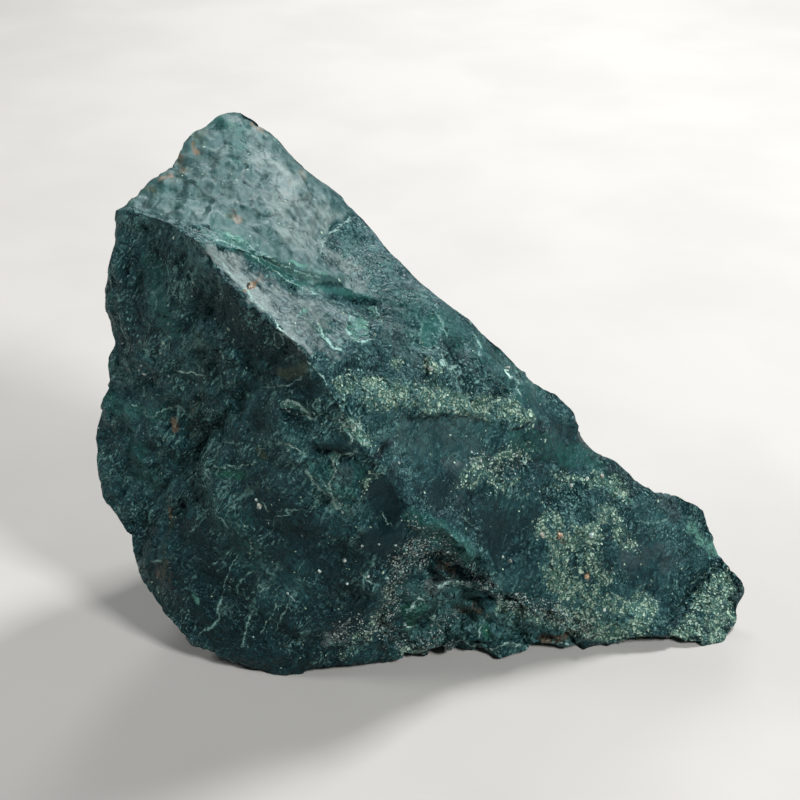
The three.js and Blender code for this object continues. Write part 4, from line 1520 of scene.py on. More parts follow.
class Graph:
    """Adds nodes to a tree, one short call for each."""

    def __init__(self, tree: bpy.types.NodeTree) -> None:
        """Keeps the tree that nodes are added to."""
        self.tree = tree

    def node(self, kind: str, feeds: dict[str | int, Feed], **settings: object) -> bpy.types.Node:
        """Adds one node.

        Args:
            kind: The node's type.
            feeds: What each input gets, a socket or a plain value.
            **settings: The node's own settings, which are made before the inputs are fed.

        Returns:
            The node.
        """
        node = self.tree.nodes.new(kind)
        for name, value in settings.items():
            setattr(node, name, value)
        for name, feed in feeds.items():
            if isinstance(feed, Socket):
                self.tree.links.new(feed, node.inputs[name])
            else:
                node.inputs[name].default_value = feed
        return node

    def add(
        self, kind: str, feeds: dict[str | int, Feed], output: str | int = 0, **settings: object
    ) -> Socket:
        """Adds one node and returns one of its outputs."""
        return self.node(kind, feeds, **settings).outputs[output]

    def group(self, tree: bpy.types.NodeTree, output: str, feeds: dict[str, Feed]) -> Socket:
        """Places a node group and returns one of its outputs."""
        return self.add("ShaderNodeGroup", feeds, output, node_tree=tree)

    @staticmethod
    def sibling(socket: Socket, output: str) -> Socket:
        """Returns another output of the node that an output belongs to."""
        return socket.node.outputs[output]

    def vector(self, operation: str, a: Feed, b: Feed = (0.0, 0.0, 0.0), **feeds: Feed) -> Socket:
        """Does one sum on vectors and returns its result."""
        return self.add("ShaderNodeVectorMath", {0: a, 1: b, **feeds}, operation=operation)

    def math(self, operation: str, a: Feed, b: Feed = 0.0, clamp: bool = False) -> Socket:
        """Does one sum on values and returns its result."""
        return self.add("ShaderNodeMath", {0: a, 1: b}, operation=operation, use_clamp=clamp)

    def times(self, a: Feed, b: Feed, clamp: bool = False) -> Socket:
        """Multiplies two values and returns the product."""
        return self.math("MULTIPLY", a, b, clamp)

    def total(self, *parts: tuple[Feed, float]) -> Feed:
        """Adds up values.

        Args:
            *parts: Each value with its own weight.

        Returns:
            The weighted sum.
        """
        result: Feed = 0.0
        for value, weight in parts:
            feeds = {0: value, 1: weight, 2: result}
            result = self.add("ShaderNodeMath", feeds, operation="MULTIPLY_ADD")
        return result

    def ramp(self, value: Feed, low: float, high: float, top: float = 1.0) -> Socket:
        """Goes smoothly from 0 at low to top at high and returns the result."""
        feeds = {"Value": value, "From Min": low, "From Max": high, "To Min": 0.0, "To Max": top}
        return self.add("ShaderNodeMapRange", feeds, interpolation_type="SMOOTHSTEP")

    def blend(self, under: Feed, over: Feed, share: Feed) -> Socket:
        """Lays one colour over another and returns the mix."""
        feeds = {0: share, MIX_UNDER: colour4(under), MIX_OVER: colour4(over)}
        return self.add("ShaderNodeMix", feeds, MIX_RESULT, data_type="RGBA")

    def wash(self, under: Feed, wash: Wash, value: Feed, share: Feed | None = None) -> Socket:
        """Lays a wash over a colour.

        Args:
            under: The colour below.
            wash: The colour to lay, and the values between which it appears.
            value: The value that the wash follows.
            share: How much of the wash is laid, all of it if nothing is given.

        Returns:
            The mix.
        """
        shown = self.ramp(value, wash.low, wash.high, top=wash.strength)
        if share is not None:
            shown = self.times(shown, share)
        return self.blend(under, wash.colour, shown)

    def clouds(self, where: Feed, cloud: Cloud) -> Socket:
        """Adds cloudy noise and returns its value."""
        feeds = {"Vector": where, "Scale": 1.0 / (cloud.size * MM), "Detail": cloud.detail,
                 "Roughness": cloud.rough}
        return self.add("ShaderNodeTexNoise", feeds)

    def attribute(self, name: str) -> Socket:
        """Reads one of the mesh's own values."""
        return self.add("ShaderNodeAttribute", {}, "Fac", attribute_name=name)

    def moved(self, where: Feed, turn: Triple = (0.0, 0.0, 0.0), scale: Triple = (1.0, 1.0, 1.0),
              shift: Triple = (0.0, 0.0, 0.0)) -> Socket:
        """Turns, stretches and shifts coordinates and returns them."""
        feeds = {"Vector": where, "Rotation": turn, "Scale": scale, "Location": shift}
        return self.add("ShaderNodeMapping", feeds)


Group = tuple[bpy.types.NodeTree, dict[str, Socket], dict[str, Socket]]


def new_group(name: str, inputs: tuple[str, ...], outputs: tuple[str, ...]) -> Group:
    """Starts a shader node group that reads coordinates and values and gives values.

    Args:
        name: The group's name.
        inputs: The names of its value inputs, which follow the input Vector.
        outputs: The names of its outputs.

    Returns:
        The group's tree, the sockets that give its inputs and those that take its outputs.
    """
    tree = bpy.data.node_groups.new(name, "ShaderNodeTree")
    tree.interface.new_socket(name="Vector", in_out="INPUT", socket_type="NodeSocketVector")
    for names, side in ((inputs, "INPUT"), (outputs, "OUTPUT")):
        for socket_name in names:
            tree.interface.new_socket(name=socket_name, in_out=side, socket_type="NodeSocketFloat")
    taken = tree.nodes.new("NodeGroupInput").outputs
    given = tree.nodes.new("NodeGroupOutput").inputs
    return tree, taken, given


def speck_group() -> bpy.types.NodeTree:
    """Makes the group that scatters mineral grains.

    Returns:
        A group with the inputs Vector, Scale and Density and the outputs Mask and Tint.
    """
    tree, taken, given = new_group("mineral_specks", ("Scale", "Density"), ("Mask", "Tint"))
    graph = Graph(tree)
    least_radius, more_radius = 0.22, 0.42
    inside, outside = 0.14, -0.02
    least_bright, contrast = 0.15, 1.3
    cell = {"Vector": taken["Vector"], "Scale": taken["Scale"]}
    distance = graph.add("ShaderNodeTexVoronoi", cell, "Distance")
    split = graph.node("ShaderNodeSeparateColor", {0: graph.sibling(distance, "Color")})
    choice, size, brightness = split.outputs
    chosen = graph.math("LESS_THAN", choice, taken["Density"])
    radius = graph.math("ADD", graph.times(size, more_radius), least_radius)
    body = graph.ramp(graph.math("SUBTRACT", radius, distance), outside, inside)
    bright = graph.math("ADD", graph.math("POWER", brightness, contrast), least_bright, clamp=True)
    shown = graph.times(graph.times(body, chosen), bright)
    tree.links.new(shown, given["Mask"])
    tree.links.new(size, given["Tint"])
    return tree


def hairline_group() -> bpy.types.NodeTree:
    """Makes the group that draws short curved hairlines, where noise crosses its middle level.

    Returns:
        A group with the inputs Vector, Scale, Width and Cover and the outputs Mask and Step,
        which is a small drop along each line.
    """
    tree, taken, given = new_group("hairlines", ("Scale", "Width", "Cover"), ("Mask", "Step"))
    graph = Graph(tree)
    level = 0.5
    gate_scale, gate_shift, gate_edge = 0.8, (0.31, 0.17, 0.23), 0.10
    waves = {"Vector": taken["Vector"], "Scale": taken["Scale"], "Detail": 2.0,
             "Roughness": 0.45, "Distortion": 0.6}
    off = graph.math("SUBTRACT", graph.add("ShaderNodeTexNoise", waves), level)
    narrow = graph.math("DIVIDE", off, taken["Width"])
    line = graph.math("SUBTRACT", 1.0, graph.math("ABSOLUTE", narrow), clamp=True)
    drop = graph.ramp(narrow, -1.0, 1.0)
    gates = {"Vector": graph.moved(taken["Vector"], shift=gate_shift),
             "Scale": graph.times(taken["Scale"], gate_scale), "Detail": 2.0}
    cloud = graph.add("ShaderNodeTexNoise", gates)
    gate = graph.math("SUBTRACT", graph.math("ADD", cloud, taken["Cover"]), level)
    shown = graph.ramp(gate, 0.0, gate_edge)
    tree.links.new(graph.times(line, shown), given["Mask"])
    tree.links.new(graph.times(drop, shown), given["Step"])
    return tree


def facet_group() -> bpy.types.NodeTree:
    """Makes the group that breaks the surface into small flat facets, each with its own tilt.

    Returns:
        A group with the inputs Vector and Scale and the outputs Height and Tone.
    """
    tree, taken, given = new_group("facets", ("Scale",), ("Height", "Tone"))
    graph = Graph(tree)
    cell = {"Vector": taken["Vector"], "Scale": taken["Scale"]}
    place = graph.add("ShaderNodeTexVoronoi", cell, "Position")
    hue = graph.sibling(place, "Color")
    away = graph.vector("SUBTRACT", taken["Vector"], place)
    scaled = graph.vector("SCALE", away, Scale=taken["Scale"])
    tilt = graph.vector("SUBTRACT", hue, (0.5, 0.5, 0.5))
    height = graph.sibling(graph.vector("DOT_PRODUCT", scaled, tilt), "Value")
    split = graph.node("ShaderNodeSeparateColor", {0: hue})
    tree.links.new(height, given["Height"])
    tree.links.new(split.outputs[0], given["Tone"])
    return tree


@dataclass(frozen=True)
class JasperPalette:
    """The stone's colours."""

    deep: Colour = (0.0026, 0.0126, 0.0158)
    green: Colour = (0.0100, 0.0435, 0.0492)
    pale: Colour = (0.050, 0.130, 0.128)
    hair: Colour = (0.165, 0.340, 0.310)
    crust: Colour = (0.046, 0.101, 0.094)
    # pale frost, which also serves as painted sheen
    frost_and_sheen: Colour = (0.248, 0.304, 0.298)
    violet: Colour = (0.030, 0.047, 0.050)
    jade: Colour = (0.110, 0.290, 0.225)
    teal: Colour = (0.018, 0.095, 0.080)
    emerald: Colour = (0.012, 0.095, 0.052)
    olive: Colour = (0.050, 0.056, 0.022)
    rust: Colour = (0.215, 0.118, 0.058)
    moss: Colour = (0.052, 0.122, 0.092)
    cream: Colour = (0.470, 0.640, 0.500)
    white: Colour = (0.700, 0.850, 0.790)
    vein: Colour = (0.185, 0.370, 0.325)
    vein_pale: Colour = (0.490, 0.670, 0.610)
    salt: Colour = (0.520, 0.620, 0.560)
    orange: Colour = (0.620, 0.340, 0.170)
    grain_green: Colour = (0.130, 0.310, 0.230)
    dark: Colour = (0.002, 0.004, 0.005)
    glint: Colour = (0.42, 0.86, 0.95)


PALETTE = JasperPalette()


@dataclass(frozen=True)
class Hairs:
    """One size of hairlines: lines to a metre, width, cover, strength and depth of the step."""

    scale: float
    width: float
    cover: float
    strength: float
    drop: float


@dataclass(frozen=True)
class Grains:
    """One size of mineral grains.

    Scale is how many lie on a metre and density how full of them a patch is. Strewn is how many
    lie outside the patches, and lift how far the grains stand proud.
    """

    scale: float
    density: float
    strewn: float = 0.0
    lift: float = 0.0


@dataclass(frozen=True)
class JasperFinish:
    """What the stone's finish is mixed from, and how it takes the light."""

    stir: Cloud = Cloud(1.4, 1.5)
    stir_reach: float = 0.9 * MM
    lean: float = math.radians(-34)
    brush_lean: float = math.radians(-48)
    squeeze: Triple = (1.0, 1.0, 0.26)
    brush_squeeze: Triple = (0.22, 1.0, 1.0)
    clod_squeeze: Triple = (1.0, 0.45, 1.0)

    broad: Cloud = Cloud(14.0, 3.0)
    middle: Cloud = Cloud(3.4, 3.0, 0.6)
    fine: Cloud = Cloud(0.6, 2.0, 0.6)
    busy: Cloud = Cloud(7.0, 3.0, 0.6)
    patchy: Cloud = Cloud(5.0, 3.0)
    flecks: Cloud = Cloud(0.34, 1.0)
    fray: Cloud = Cloud(1.1, 4.0, 0.7)
    streaks: Cloud = Cloud(0.5, 3.0, 0.6)
    clots: Cloud = Cloud(1.8, 3.0, 0.6)
    pepper: Cloud = Cloud(0.7, 2.0, 0.6)
    wobble: Cloud = Cloud(1.7, 3.0, 0.66)
    swell: Cloud = Cloud(1.3)
    grit: Cloud = Cloud(0.9, 2.0, 0.6)
    folds: Cloud = Cloud(1.7)
    clods: Cloud = Cloud(2.2, 1.5)

    slab_scale: float = 400.0
    chip_scale: float = 800.0
    crumb_scale: float = 1900.0
    hairs: tuple[Hairs, ...] = (
        Hairs(1500.0, 0.080, -0.04, 0.70, 0.0),
        Hairs(760.0, 0.048, -0.06, 0.95, 0.5),
        Hairs(330.0, 0.022, -0.04, 1.00, 1.0),
    )
    grains: tuple[Grains, ...] = (
        Grains(3000.0, 1.10, 0.030),
        Grains(2000.0, 1.10, 0.010, 1.0),
        Grains(1250.0, 0.50, 0.002, 1.3),
    )
    salts: tuple[Grains, ...] = (Grains(3600.0, 0.75), Grains(2100.0, 0.30))

    ground_washes: tuple[Wash, ...] = (
        Wash(PALETTE.green, 0.0, 0.55),
        Wash(PALETTE.pale, 0.50, 1.15),
    )
    # dark flecks, and light flecks that are partly painted glints
    fleck_and_glint_washes: tuple[Wash, ...] = (
        Wash(PALETTE.deep, 0.44, 0.34, 0.8),
        Wash(PALETTE.hair, 0.61, 0.70, 0.95),
    )
    block_washes: tuple[Wash, ...] = (
        Wash(PALETTE.dark, 0.40, 0.10, 0.60),
        Wash(PALETTE.pale, 0.50, 0.85, 0.85),
    )
    mark_washes: tuple[tuple[Mark, Wash], ...] = (
        (Mark.LUMPY, Wash(PALETTE.crust, -0.3, 1.7, 0.85)),
        (Mark.TEAL, Wash(PALETTE.teal, 0.20, 1.10, 0.70)),
        (Mark.VIOLET, Wash(PALETTE.violet, 0.10, 1.30, 0.75)),
        (Mark.OLIVE, Wash(PALETTE.olive, 0.30, 1.20, 0.70)),
        (Mark.EMERALD, Wash(PALETTE.emerald, 0.40, 1.00, 0.80)),
        # the frost wash, partly painted sheen
        (Mark.FROST_AND_SHEEN, Wash(PALETTE.frost_and_sheen, -0.05, 1.60, 0.90)),
        (Mark.JADE, Wash(PALETTE.jade, 0.45, 1.10, 0.80)),
        (Mark.RUST, Wash(PALETTE.rust, 0.45, 1.15, 0.80)),
    )
    mottled_marks: tuple[Mark, ...] = (Mark.LUMPY, Mark.VIOLET, Mark.FROST_AND_SHEEN)
    moss_wash: Wash = Wash(PALETTE.moss, 0.1, 1.0, 0.85)
    pepper_wash: Wash = Wash(PALETTE.dark, 0.58, 0.44, 0.85)
    pebble_wash: Wash = Wash(PALETTE.pale, 0.62, 0.40, 0.7)
    halo_wash: Wash = Wash(PALETTE.teal, 5.5, 0.5, 0.35)

    specular: float = 0.36
    bump_depth: float = 0.7 * MM

    def material(self) -> bpy.types.Material:
        """Builds the material.

        Returns:
            The jasper material.
        """
        made = bpy.data.materials.new("green_jasper")
        made.use_nodes = True
        surface = made.node_tree.nodes["Principled BSDF"]
        paint = JasperPaint(self, Graph(made.node_tree))
        for name, socket in paint.mixed().items():
            made.node_tree.links.new(socket, surface.inputs[name])
        surface.inputs["Specular IOR Level"].default_value = self.specular
        surface.inputs["Specular Tint"].default_value = colour4(PALETTE.glint)
        return made


class JasperPaint:
    """Mixes the stone's colour and relief in a material's node tree, one layer over another."""

    def __init__(self, finish: JasperFinish, graph: Graph) -> None:
        """Sets out what the layers share: coordinates, masks, noises and groups.

        Args:
            finish: The values of the finish.
            graph: Where the nodes go.
        """
        self.finish = finish
        self.graph = graph
        self.specks = speck_group()
        self.hairs = hairline_group()
        self.facets = facet_group()
        self.ground: Feed = PALETTE.deep
        self.steps: Feed = 0.0
        self.raised: Feed = 0.0
        self.set_out()
        self.read_marks()
        self.read_noises()

    def mixed(self) -> dict[str, Socket]:
        """Lays all the layers in order.

        Returns:
            What the shader's inputs get, by their names.
        """
        self.lay_ground()
        self.draw_flecks()
        self.draw_hairlines()
        self.lay_patches()
        self.shade_rubble()
        self.strew_grains()
        self.strew_salt()
        self.draw_stripes()
        self.colour_pebbles()
        return {"Base Color": self.ground, "Roughness": self.roughness(), "Normal": self.relief()}

    def set_out(self) -> None:
        """Makes the coordinates: plain, stirred, leaning with the grain and drawn out along it."""
        finish, graph = self.finish, self.graph
        self.where = graph.add("ShaderNodeTexCoord", {}, "Object")
        stir = graph.sibling(graph.clouds(self.where, finish.stir), "Color")
        push = graph.vector("SUBTRACT", stir, (0.5, 0.5, 0.5))
        push = graph.vector("SCALE", push, Scale=finish.stir_reach)
        self.warped = graph.vector("ADD", self.where, push)
        self.leaning = graph.moved(self.warped, turn=(0.0, finish.lean, 0.0))
        self.slanted = graph.moved(self.leaning, scale=finish.squeeze)

    def lay(self, wash: Wash, value: Feed, share: Feed | None = None) -> None:
        """Lays a wash over the ground."""
        self.ground = self.graph.wash(self.ground, wash, value, share)

    def cover(self, colour: Feed, share: Feed) -> None:
        """Lays a colour over the ground."""
        self.ground = self.graph.blend(self.ground, colour, share)

    def amount(self, mark: Mark) -> Socket:
        """Reads how much of a mark lies on the surface."""
        return self.graph.attribute(mark.value)

    def capped(self, mark: Mark) -> Socket:
        """Reads how much of a mark lies on the surface, with 1 as the most."""
        return self.graph.math("MINIMUM", self.amount(mark), 1.0)

    def read_marks(self) -> None:
        """Reads the marks that several layers follow."""
        self.smooth = self.capped(Mark.SMOOTH)
        self.calm = self.graph.total((self.smooth, -0.70), (1.0, 1.0))
        self.blocky = self.amount(Mark.BLOCKY)
        self.painted_shade = self.amount(Mark.PAINTED_SHADE)
        self.lumpy = self.amount(Mark.LUMPY)

    def facetted(self, where: Socket, scale: float) -> Socket:
        """Breaks coordinates into facets and returns their height."""
        return self.graph.group(self.facets, "Height", {"Vector": where, "Scale": scale})

    def read_noises(self) -> None:
        """Makes the noises and facets that several layers follow."""
        finish, graph = self.finish, self.graph
        self.middle = graph.clouds(self.where, finish.middle)
        self.fine = graph.clouds(self.slanted, finish.fine)
        self.slabs = self.facetted(self.warped, finish.slab_scale)
        self.chips = self.facetted(self.slanted, finish.chip_scale)
        self.crumbs = self.facetted(self.slanted, finish.crumb_scale)
        busy = graph.ramp(graph.clouds(self.where, finish.busy), 0.36, 0.64)
        quiet = graph.total((self.painted_shade, -0.4), (self.lumpy, -0.7), (busy, 1.2), (1.0, 0.10))
        self.quiet = graph.times(graph.math("MAXIMUM", quiet, 0.05), self.calm)
        fray = graph.clouds(self.where, finish.fray)
        finer = graph.times(graph.math("SUBTRACT", self.fine, 0.5),
                            graph.total((self.lumpy, -0.7), (1.0, 0.7)))
        self.uneven = graph.total((fray, 1.2), (finer, 1.0), (1.0, -0.6))

    def lay_ground(self) -> None:
        """Lays the ground colour, from broad clouds down to facets and fine mottling, with painted shade
        and light: lighter on raised relief and darker in its hollows, darker under painted shade and
        lighter under painted light.
        """
        graph = self.graph
        broad = graph.clouds(self.where, self.finish.broad)
        small = graph.total((self.fine, 0.65), (graph.sibling(self.chips, "Tone"), 0.22),
                            (graph.sibling(self.crumbs, "Tone"), 0.24), (1.0, -0.555))
        small = graph.times(small, graph.total((self.lumpy, -0.80), (1.0, 1.0)))
        # painted shade and light: the relief lightens raised parts and darkens hollows, and the marks of
        # painted shade and light darken and lighten the tone
        tone = graph.total((broad, 0.8), (self.middle, 0.8), (small, 1.0), (1.0, 0.71),
                           (graph.attribute("relief"), 0.20))
        tone = graph.total((tone, 1.0), (1.0, -1.07), (self.painted_shade, -0.30),
                           (self.amount(Mark.LIGHT), 0.22))
        for wash in self.finish.ground_washes:
            self.lay(wash, tone)

    def draw_flecks(self) -> None:
        """Draws dark and light flecks, drawn out along the grain of the stone; the light flecks are
        partly painted glints.
        """
        flecks = self.graph.clouds(self.slanted, self.finish.flecks)
        for wash in self.finish.fleck_and_glint_washes:
            self.lay(wash, flecks, self.quiet)

    def draw_hairlines(self) -> None:
        """Draws hairlines in their sizes, the larger of which are small steps as well."""
        graph = self.graph
        for hairs in self.finish.hairs:
            feeds = {"Vector": self.slanted, "Scale": hairs.scale, "Width": hairs.width,
                     "Cover": hairs.cover}
            line = graph.group(self.hairs, "Mask", feeds)
            self.cover(PALETTE.hair, graph.times(graph.times(line, hairs.strength), self.quiet))
            if hairs.drop:
                step = graph.sibling(line, "Step")
                self.steps = graph.total((self.steps, 1.0), (step, hairs.drop))

    def mottling(self) -> Feed:
        """Mixes the coarse mottling of the crust, of the frost with its painted sheen, and of the violet.

        Returns:
            Its value, which is streaky where the surface is smooth.
        """
        finish, graph = self.finish, self.graph
        brushed = graph.moved(self.warped, turn=(0.0, finish.brush_lean, 0.0))
        brushed = graph.moved(brushed, scale=finish.brush_squeeze)
        streaks = graph.clouds(brushed, finish.streaks)
        brushing = graph.times(graph.total((streaks, 2.4), (1.0, -1.2)), self.smooth)
        return graph.total((self.uneven, 1.3), (brushing, 1.0), (self.middle, 2.4), (1.0, -1.2))

    def lay_patches(self) -> None:
        """Lays the patches of colour with frayed borders."""
        graph = self.graph
        mottled = self.mottling()
        for mark, wash in self.finish.mark_washes:
            amount = self.amount(mark)
            edge = mottled if mark in self.finish.mottled_marks else self.uneven
            has = graph.ramp(amount, 0.02, 0.4)
            self.lay(wash, graph.total((amount, 1.0), (edge, 1.0)), has)

    def shade_rubble(self) -> None:
        """Shades the blocks of the rubble, each in its own tone."""
        shade = self.graph.sibling(self.slabs, "Tone")
        for wash in self.finish.block_washes:
            self.lay(wash, shade, self.blocky)

    def speck(self, grains: Grains, density: Feed) -> Socket:
        """Scatters grains of one size and returns where they are."""
        feeds = {"Vector": self.warped, "Scale": grains.scale, "Density": density}
        return self.graph.group(self.specks, "Mask", feeds)

    def strew_grains(self) -> None:
        """Strews the sugary grains on a mossy ground."""
        finish, graph = self.finish, self.graph
        grain = graph.times(self.amount(Mark.GRAIN), 1.3, clamp=True)
        clotted = graph.ramp(graph.clouds(self.where, finish.clots), 0.36, 0.60)
        clotted = graph.times(grain, graph.total((clotted, 0.75), (1.0, 0.25)))
        mossy = graph.total((clotted, 1.0), (self.uneven, 1.2))
        self.lay(finish.moss_wash, mossy, graph.ramp(grain, 0.02, 0.4))
        patchy = graph.ramp(graph.clouds(self.where, finish.patchy), 0.42, 0.62)
        for grains in finish.grains:
            strewn = graph.times(patchy, grains.strewn)
            speck = self.speck(grains, graph.total((clotted, grains.density), (strewn, 1.0)))
            creamy = graph.ramp(graph.sibling(speck, "Tint"), 0.2, 0.8)
            self.cover(graph.blend(PALETTE.grain_green, PALETTE.cream, creamy), speck)
            if grains.lift:
                self.raised = graph.total((self.raised, 1.0), (speck, grains.lift))

    def strew_salt(self) -> None:
        """Strews salt on a peppered ground."""
        finish, graph = self.finish, self.graph
        salty = self.capped(Mark.SALT)
        self.lay(finish.pepper_wash, graph.clouds(self.where, finish.pepper), salty)
        for grains in finish.salts:
            self.cover(PALETTE.salt, self.speck(grains, graph.times(salty, grains.density)))

    def draw_stripes(self) -> None:
        """Draws the veins, which swell and thin out along their way, and the dark crack lines, which are
        mostly painted shadow.
        """
        finish, graph = self.finish, self.graph
        wobble = graph.total((graph.clouds(self.where, finish.wobble), 2.0), (1.0, -1.0))
        swell = graph.ramp(graph.clouds(self.where, finish.swell), 0.36, 0.66, top=1.7)
        for stripe in Stripe:
            offset = graph.attribute(f"{stripe.value}_offset")
            wide = graph.attribute(f"{stripe.value}_width")
            shown = graph.attribute(f"{stripe.value}_strength")
            off = graph.math("ABSOLUTE", graph.math("ADD", offset, wobble))
            hue: Feed = PALETTE.dark
            if stripe is Stripe.VEIN:
                wide = graph.times(wide, graph.total((swell, 0.62), (1.0, 0.10)))
            narrow = graph.math("DIVIDE", off, wide)
            if stripe is Stripe.VEIN:
                self.lay(finish.halo_wash, narrow, shown)
                white = graph.attribute(f"{stripe.value}_white")
                hue = graph.blend(PALETTE.vein, PALETTE.vein_pale, white)
            self.cover(hue, graph.times(graph.ramp(narrow, 1.6, 0.5), shown))

    def colour_pebbles(self) -> None:
        """Colours the single grains, from white to orange."""
        graph = self.graph
        hue = graph.blend(PALETTE.white, PALETTE.orange, graph.attribute("warmth"))
        hue = graph.wash(hue, self.finish.pebble_wash, self.fine)
        self.cover(hue, graph.attribute("pebble"))

    def roughness(self) -> Feed:
        """Mixes the roughness: patchy, and rougher on the crust."""
        patches = self.graph.ramp(self.middle, 0.3, 0.7)
        return self.graph.total((patches, 0.2), (self.lumpy, 0.12), (1.0, 0.36))

    def relief(self) -> Socket:
        """Mixes the fine relief.

        Returns:
            The bumped normal.
        """
        finish, graph = self.finish, self.graph
        grit = graph.clouds(self.slanted, finish.grit)
        folds = graph.math("SUBTRACT", graph.clouds(self.leaning, finish.folds), 0.5)
        folds = graph.math("ABSOLUTE", folds)
        bumps = graph.total((grit, 1.1), (self.chips, 1.0), (self.crumbs, 0.6), (folds, -4.0),
                            (self.steps, 0.5))
        sharp = graph.total((self.calm, 0.6), (self.quiet, 0.55), (self.lumpy, -0.60),
                            (self.capped(Mark.FROST_AND_SHEEN), -0.20))
        bumps = graph.times(bumps, graph.math("MAXIMUM", sharp, 0.0))
        deeper = graph.moved(self.where, scale=finish.clod_squeeze)
        clods = graph.times(graph.clouds(deeper, finish.clods), self.lumpy)
        blocks = graph.times(self.slabs, self.blocky)
        bumps = graph.total((bumps, 1.0), (self.raised, 0.5), (blocks, 3.0), (clods, 1.8))
        feeds = {"Height": bumps, "Strength": 1.0, "Distance": finish.bump_depth}
        return graph.add("ShaderNodeBump", feeds, "Normal")


@dataclass(frozen=True)
class FloorFinish:
    """A pale matt floor."""

    base: Colour = (0.52, 0.51, 0.49)
    shade: Wash = Wash((0.49, 0.48, 0.46), 0.35, 0.65)
    clouds: Cloud = Cloud(60.0, 3.0)
    rough: float = 0.8

    def material(self) -> bpy.types.Material:
        """Builds the material.

        Returns:
            The floor's material.
        """
        made = bpy.data.materials.new("pale_floor")
        made.use_nodes = True
        graph = Graph(made.node_tree)
        surface = made.node_tree.nodes["Principled BSDF"]
        where = graph.add("ShaderNodeTexCoord", {}, "Object")
        tint = graph.wash(self.base, self.shade, graph.clouds(where, self.clouds))
        made.node_tree.links.new(tint, surface.inputs["Base Color"])
        surface.inputs["Roughness"].default_value = self.rough
        return made


# ---- sub-assemblies


@dataclass
class Stone:
    """The jasper itself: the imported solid, refined, broken up and dressed."""

    node: str = "rough_jasper"
    sharp_angle: float = math.radians(32)
    crisp_angle: float = math.radians(38)
    merge_reach: float = 0.001 * MM
    rounds: int = 2
    grain_sink: float = 0.35
    grain_lump: float = 0.5
    grain_lump_scale: float = 2.2
    finish: JasperFinish = field(default_factory=JasperFinish)

    def build(self) -> bpy.types.Object:
        """Builds the stone.

        Returns:
            The stone's object.
        """
        mesh = self.refined()
        skin = Skin(mesh)
        rough = RoughSkin(skin)
        rough.break_up()
        for mark, amount in rough.amounts.items():
            self.keep(mesh, mark.value, amount)
        for name, values in rough.stripes.items():
            self.keep(mesh, name, values)
        self.keep(mesh, "relief", rough.relief)
        self.stud(mesh, rough)
        mesh.shade_smooth()
        mesh.set_sharp_from_angle(angle=self.crisp_angle)
        mesh.materials.clear()
        mesh.materials.append(self.finish.material())
        made = bpy.data.objects.new("jasper_stone", mesh)
        bpy.context.scene.collection.objects.link(made)
        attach(made, "root")
        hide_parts(self.node)
        return made

    def refined(self) -> bpy.types.Mesh:
        """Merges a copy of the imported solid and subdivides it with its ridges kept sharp.

        Returns:
            The refined mesh.
        """
        shape = bmesh.new()
        shape.from_mesh(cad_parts[self.node].data)
        bmesh.ops.remove_doubles(shape, verts=shape.verts, dist=self.merge_reach)
        bmesh.ops.recalc_face_normals(shape, faces=shape.faces)
        crease = shape.edges.layers.float.new("crease_edge")
        for edge in shape.edges:
            if edge.calc_face_angle(0.0) > self.sharp_angle:
                edge[crease] = 1.0
        coarse = bpy.data.meshes.new("jasper_coarse")
        shape.to_mesh(coarse)
        shape.free()
        holder = bpy.data.objects.new("jasper_coarse", coarse)
        bpy.context.scene.collection.objects.link(holder)
        smoother = holder.modifiers.new("refine", "SUBSURF")
        smoother.levels = self.rounds
        smoother.render_levels = self.rounds
        evaluated = holder.evaluated_get(bpy.context.evaluated_depsgraph_get())
        mesh = bpy.data.meshes.new_from_object(evaluated)
        bpy.data.objects.remove(holder)
        bpy.data.meshes.remove(coarse)
        for old in [a for a in mesh.attributes if a.name == "crease_edge"]:
            mesh.attributes.remove(old)
        return mesh

    def stud(self, mesh: bpy.types.Mesh, rough: RoughSkin) -> None:
        """Sets the single grains in the surface.

        Args:
            mesh: The stone's mesh, which the grains join.
            rough: The surface, which tells where each grain sits.
        """
        for name in ("pebble", "warmth"):
            self.keep(mesh, name, np.zeros(len(mesh.vertices)))
        shape = bmesh.new()
        shape.from_mesh(mesh)
        pebble = shape.verts.layers.float["pebble"]
        warmth = shape.verts.layers.float["warmth"]
        for speck in rough.marks.specks:
            point, normal = rough.spot(speck.at)
            centre = (point - normal * speck.radius * self.grain_sink) * MM
            made = bmesh.ops.create_icosphere(
                shape, subdivisions=2, radius=speck.radius * MM, matrix=Matrix.Translation(centre)
            )
            for vert in made["verts"]:
                away = (vert.co - centre) / MM
                lump = noise.noise((vert.co / MM) * self.grain_lump_scale)
                vert.co = centre + away * (1.0 + self.grain_lump * lump) * MM
                vert[pebble] = 1.0
                vert[warmth] = speck.warmth
        shape.to_mesh(mesh)
        shape.free()

    @staticmethod
    def keep(mesh: bpy.types.Mesh, name: str, values: np.ndarray) -> None:
        """Stores one value for each point under a name that the material reads."""
        layer = mesh.attributes.new(name, "FLOAT", "POINT")
        layer.data.foreach_set("value", values.astype(np.float32))


@dataclass(frozen=True)
class Lamp:
    """A soft square light that points at the stone.

    Turn is where it hangs round the stone, in degrees: 0 is in front and 90 to the right. Height
    is how high it hangs, in degrees above the floor, and power is in watts.
    """

    name: str
    turn: float
    height: float
    power: float

    def way(self) -> Vector:
        """Works out where the light hangs.

        Returns:
            The direction from the stone to the light, of length 1.
        """
        turn, height = math.radians(self.turn), math.radians(self.height)
        level = math.cos(height)
        return Vector((math.sin(turn) * level, -math.cos(turn) * level, math.sin(height)))


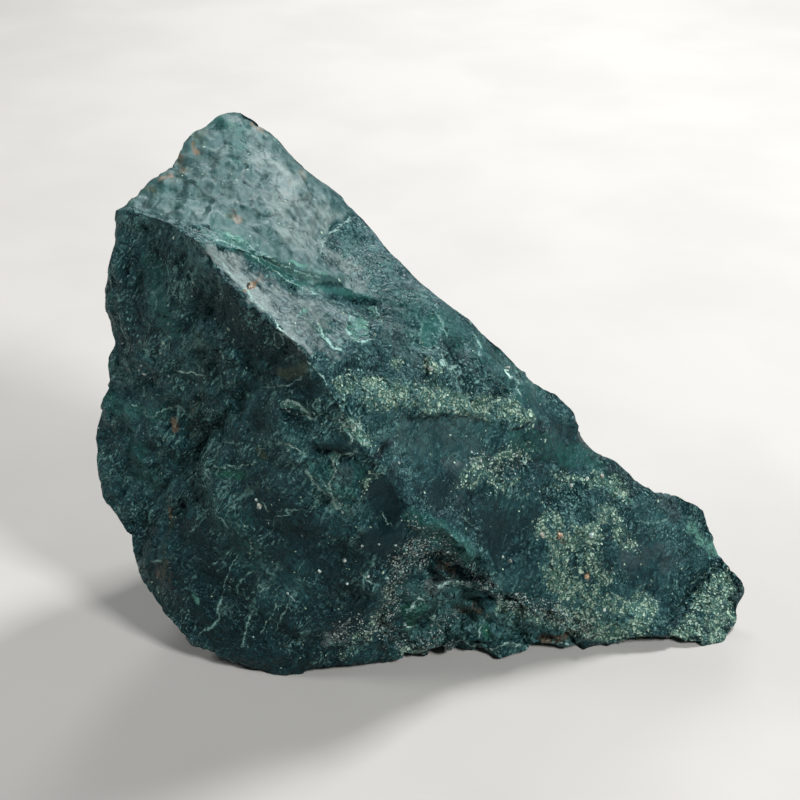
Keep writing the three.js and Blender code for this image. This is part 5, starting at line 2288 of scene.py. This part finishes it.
@dataclass
class Studio:
    """The pale floor, the soft lights and the camera."""

    floor_half: float = 1.6
    finish: FloorFinish = field(default_factory=FloorFinish)
    sky: Colour = (0.80, 0.86, 0.90)
    sky_strength: float = 0.05
    aim: Triple = (0.0, 0.0, 0.04)
    light_distance: float = 0.75
    light_size: float = 0.18
    near_limit: float = 0.01
    lamps: tuple[Lamp, ...] = (
        Lamp("key", turn=135.0, height=48.0, power=5.4),
        Lamp("rim", turn=180.0, height=27.0, power=2.0),
        Lamp("fill", turn=45.0, height=40.0, power=4.6),
        Lamp("rake", turn=270.0, height=32.0, power=2.0),
    )

    def build(self) -> None:
        """Builds everything around the stone."""
        self.lay_floor()
        self.light_up()
        self.set_camera()

    def lay_floor(self) -> None:
        """Lays the floor."""
        shape = bmesh.new()
        bmesh.ops.create_grid(shape, x_segments=1, y_segments=1, size=self.floor_half)
        mesh = bpy.data.meshes.new("floor")
        shape.to_mesh(mesh)
        shape.free()
        mesh.materials.append(self.finish.material())
        floor = bpy.data.objects.new("floor", mesh)
        bpy.context.scene.collection.objects.link(floor)

    def hang(self, lamp: Lamp) -> None:
        """Hangs one light.

        Args:
            lamp: The light to hang.
        """
        light = bpy.data.lights.new(lamp.name, "AREA")
        light.size = self.light_size
        light.energy = lamp.power
        holder = bpy.data.objects.new(lamp.name, light)
        bpy.context.scene.collection.objects.link(holder)
        way = lamp.way()
        holder.location = Vector(self.aim) + way * self.light_distance
        holder.rotation_euler = (-way).to_track_quat("-Z", "Y").to_euler()

    def light_up(self) -> None:
        """Hangs the lights and sets the dim surroundings."""
        for lamp in self.lamps:
            self.hang(lamp)
        world = bpy.data.worlds.new("studio")
        bpy.context.scene.world = world
        world.use_nodes = True
        backdrop = world.node_tree.nodes["Background"]
        backdrop.inputs["Color"].default_value = colour4(self.sky)
        backdrop.inputs["Strength"].default_value = self.sky_strength

    def set_camera(self) -> None:
        """Sets the camera in front of the stone, looking down on it."""
        camera = bpy.data.cameras.new("camera")
        camera.lens = VIEW.lens
        camera.sensor_width = VIEW.film
        camera.clip_start = self.near_limit
        holder = bpy.data.objects.new("camera", camera)
        bpy.context.scene.collection.objects.link(holder)
        holder.location = Vector(VIEW.eye) * MM
        holder.rotation_euler = (math.pi / 2 - VIEW.tilt, 0.0, 0.0)
        bpy.context.scene.camera = holder


def main() -> None:
    """Builds the stone and its studio and notes their sizes."""
    logging.basicConfig(level=logging.INFO, format="%(name)s: %(message)s")
    noise.seed_set(NOISE_SEED)
    bpy.context.scene.view_settings.view_transform = "Standard"
    stone = Stone().build()
    log.info("stone: %d points, %d faces", len(stone.data.vertices), len(stone.data.polygons))
    Studio().build()
    log.info("studio: floor, lights and camera")


if __name__ == "__main__":
    main()
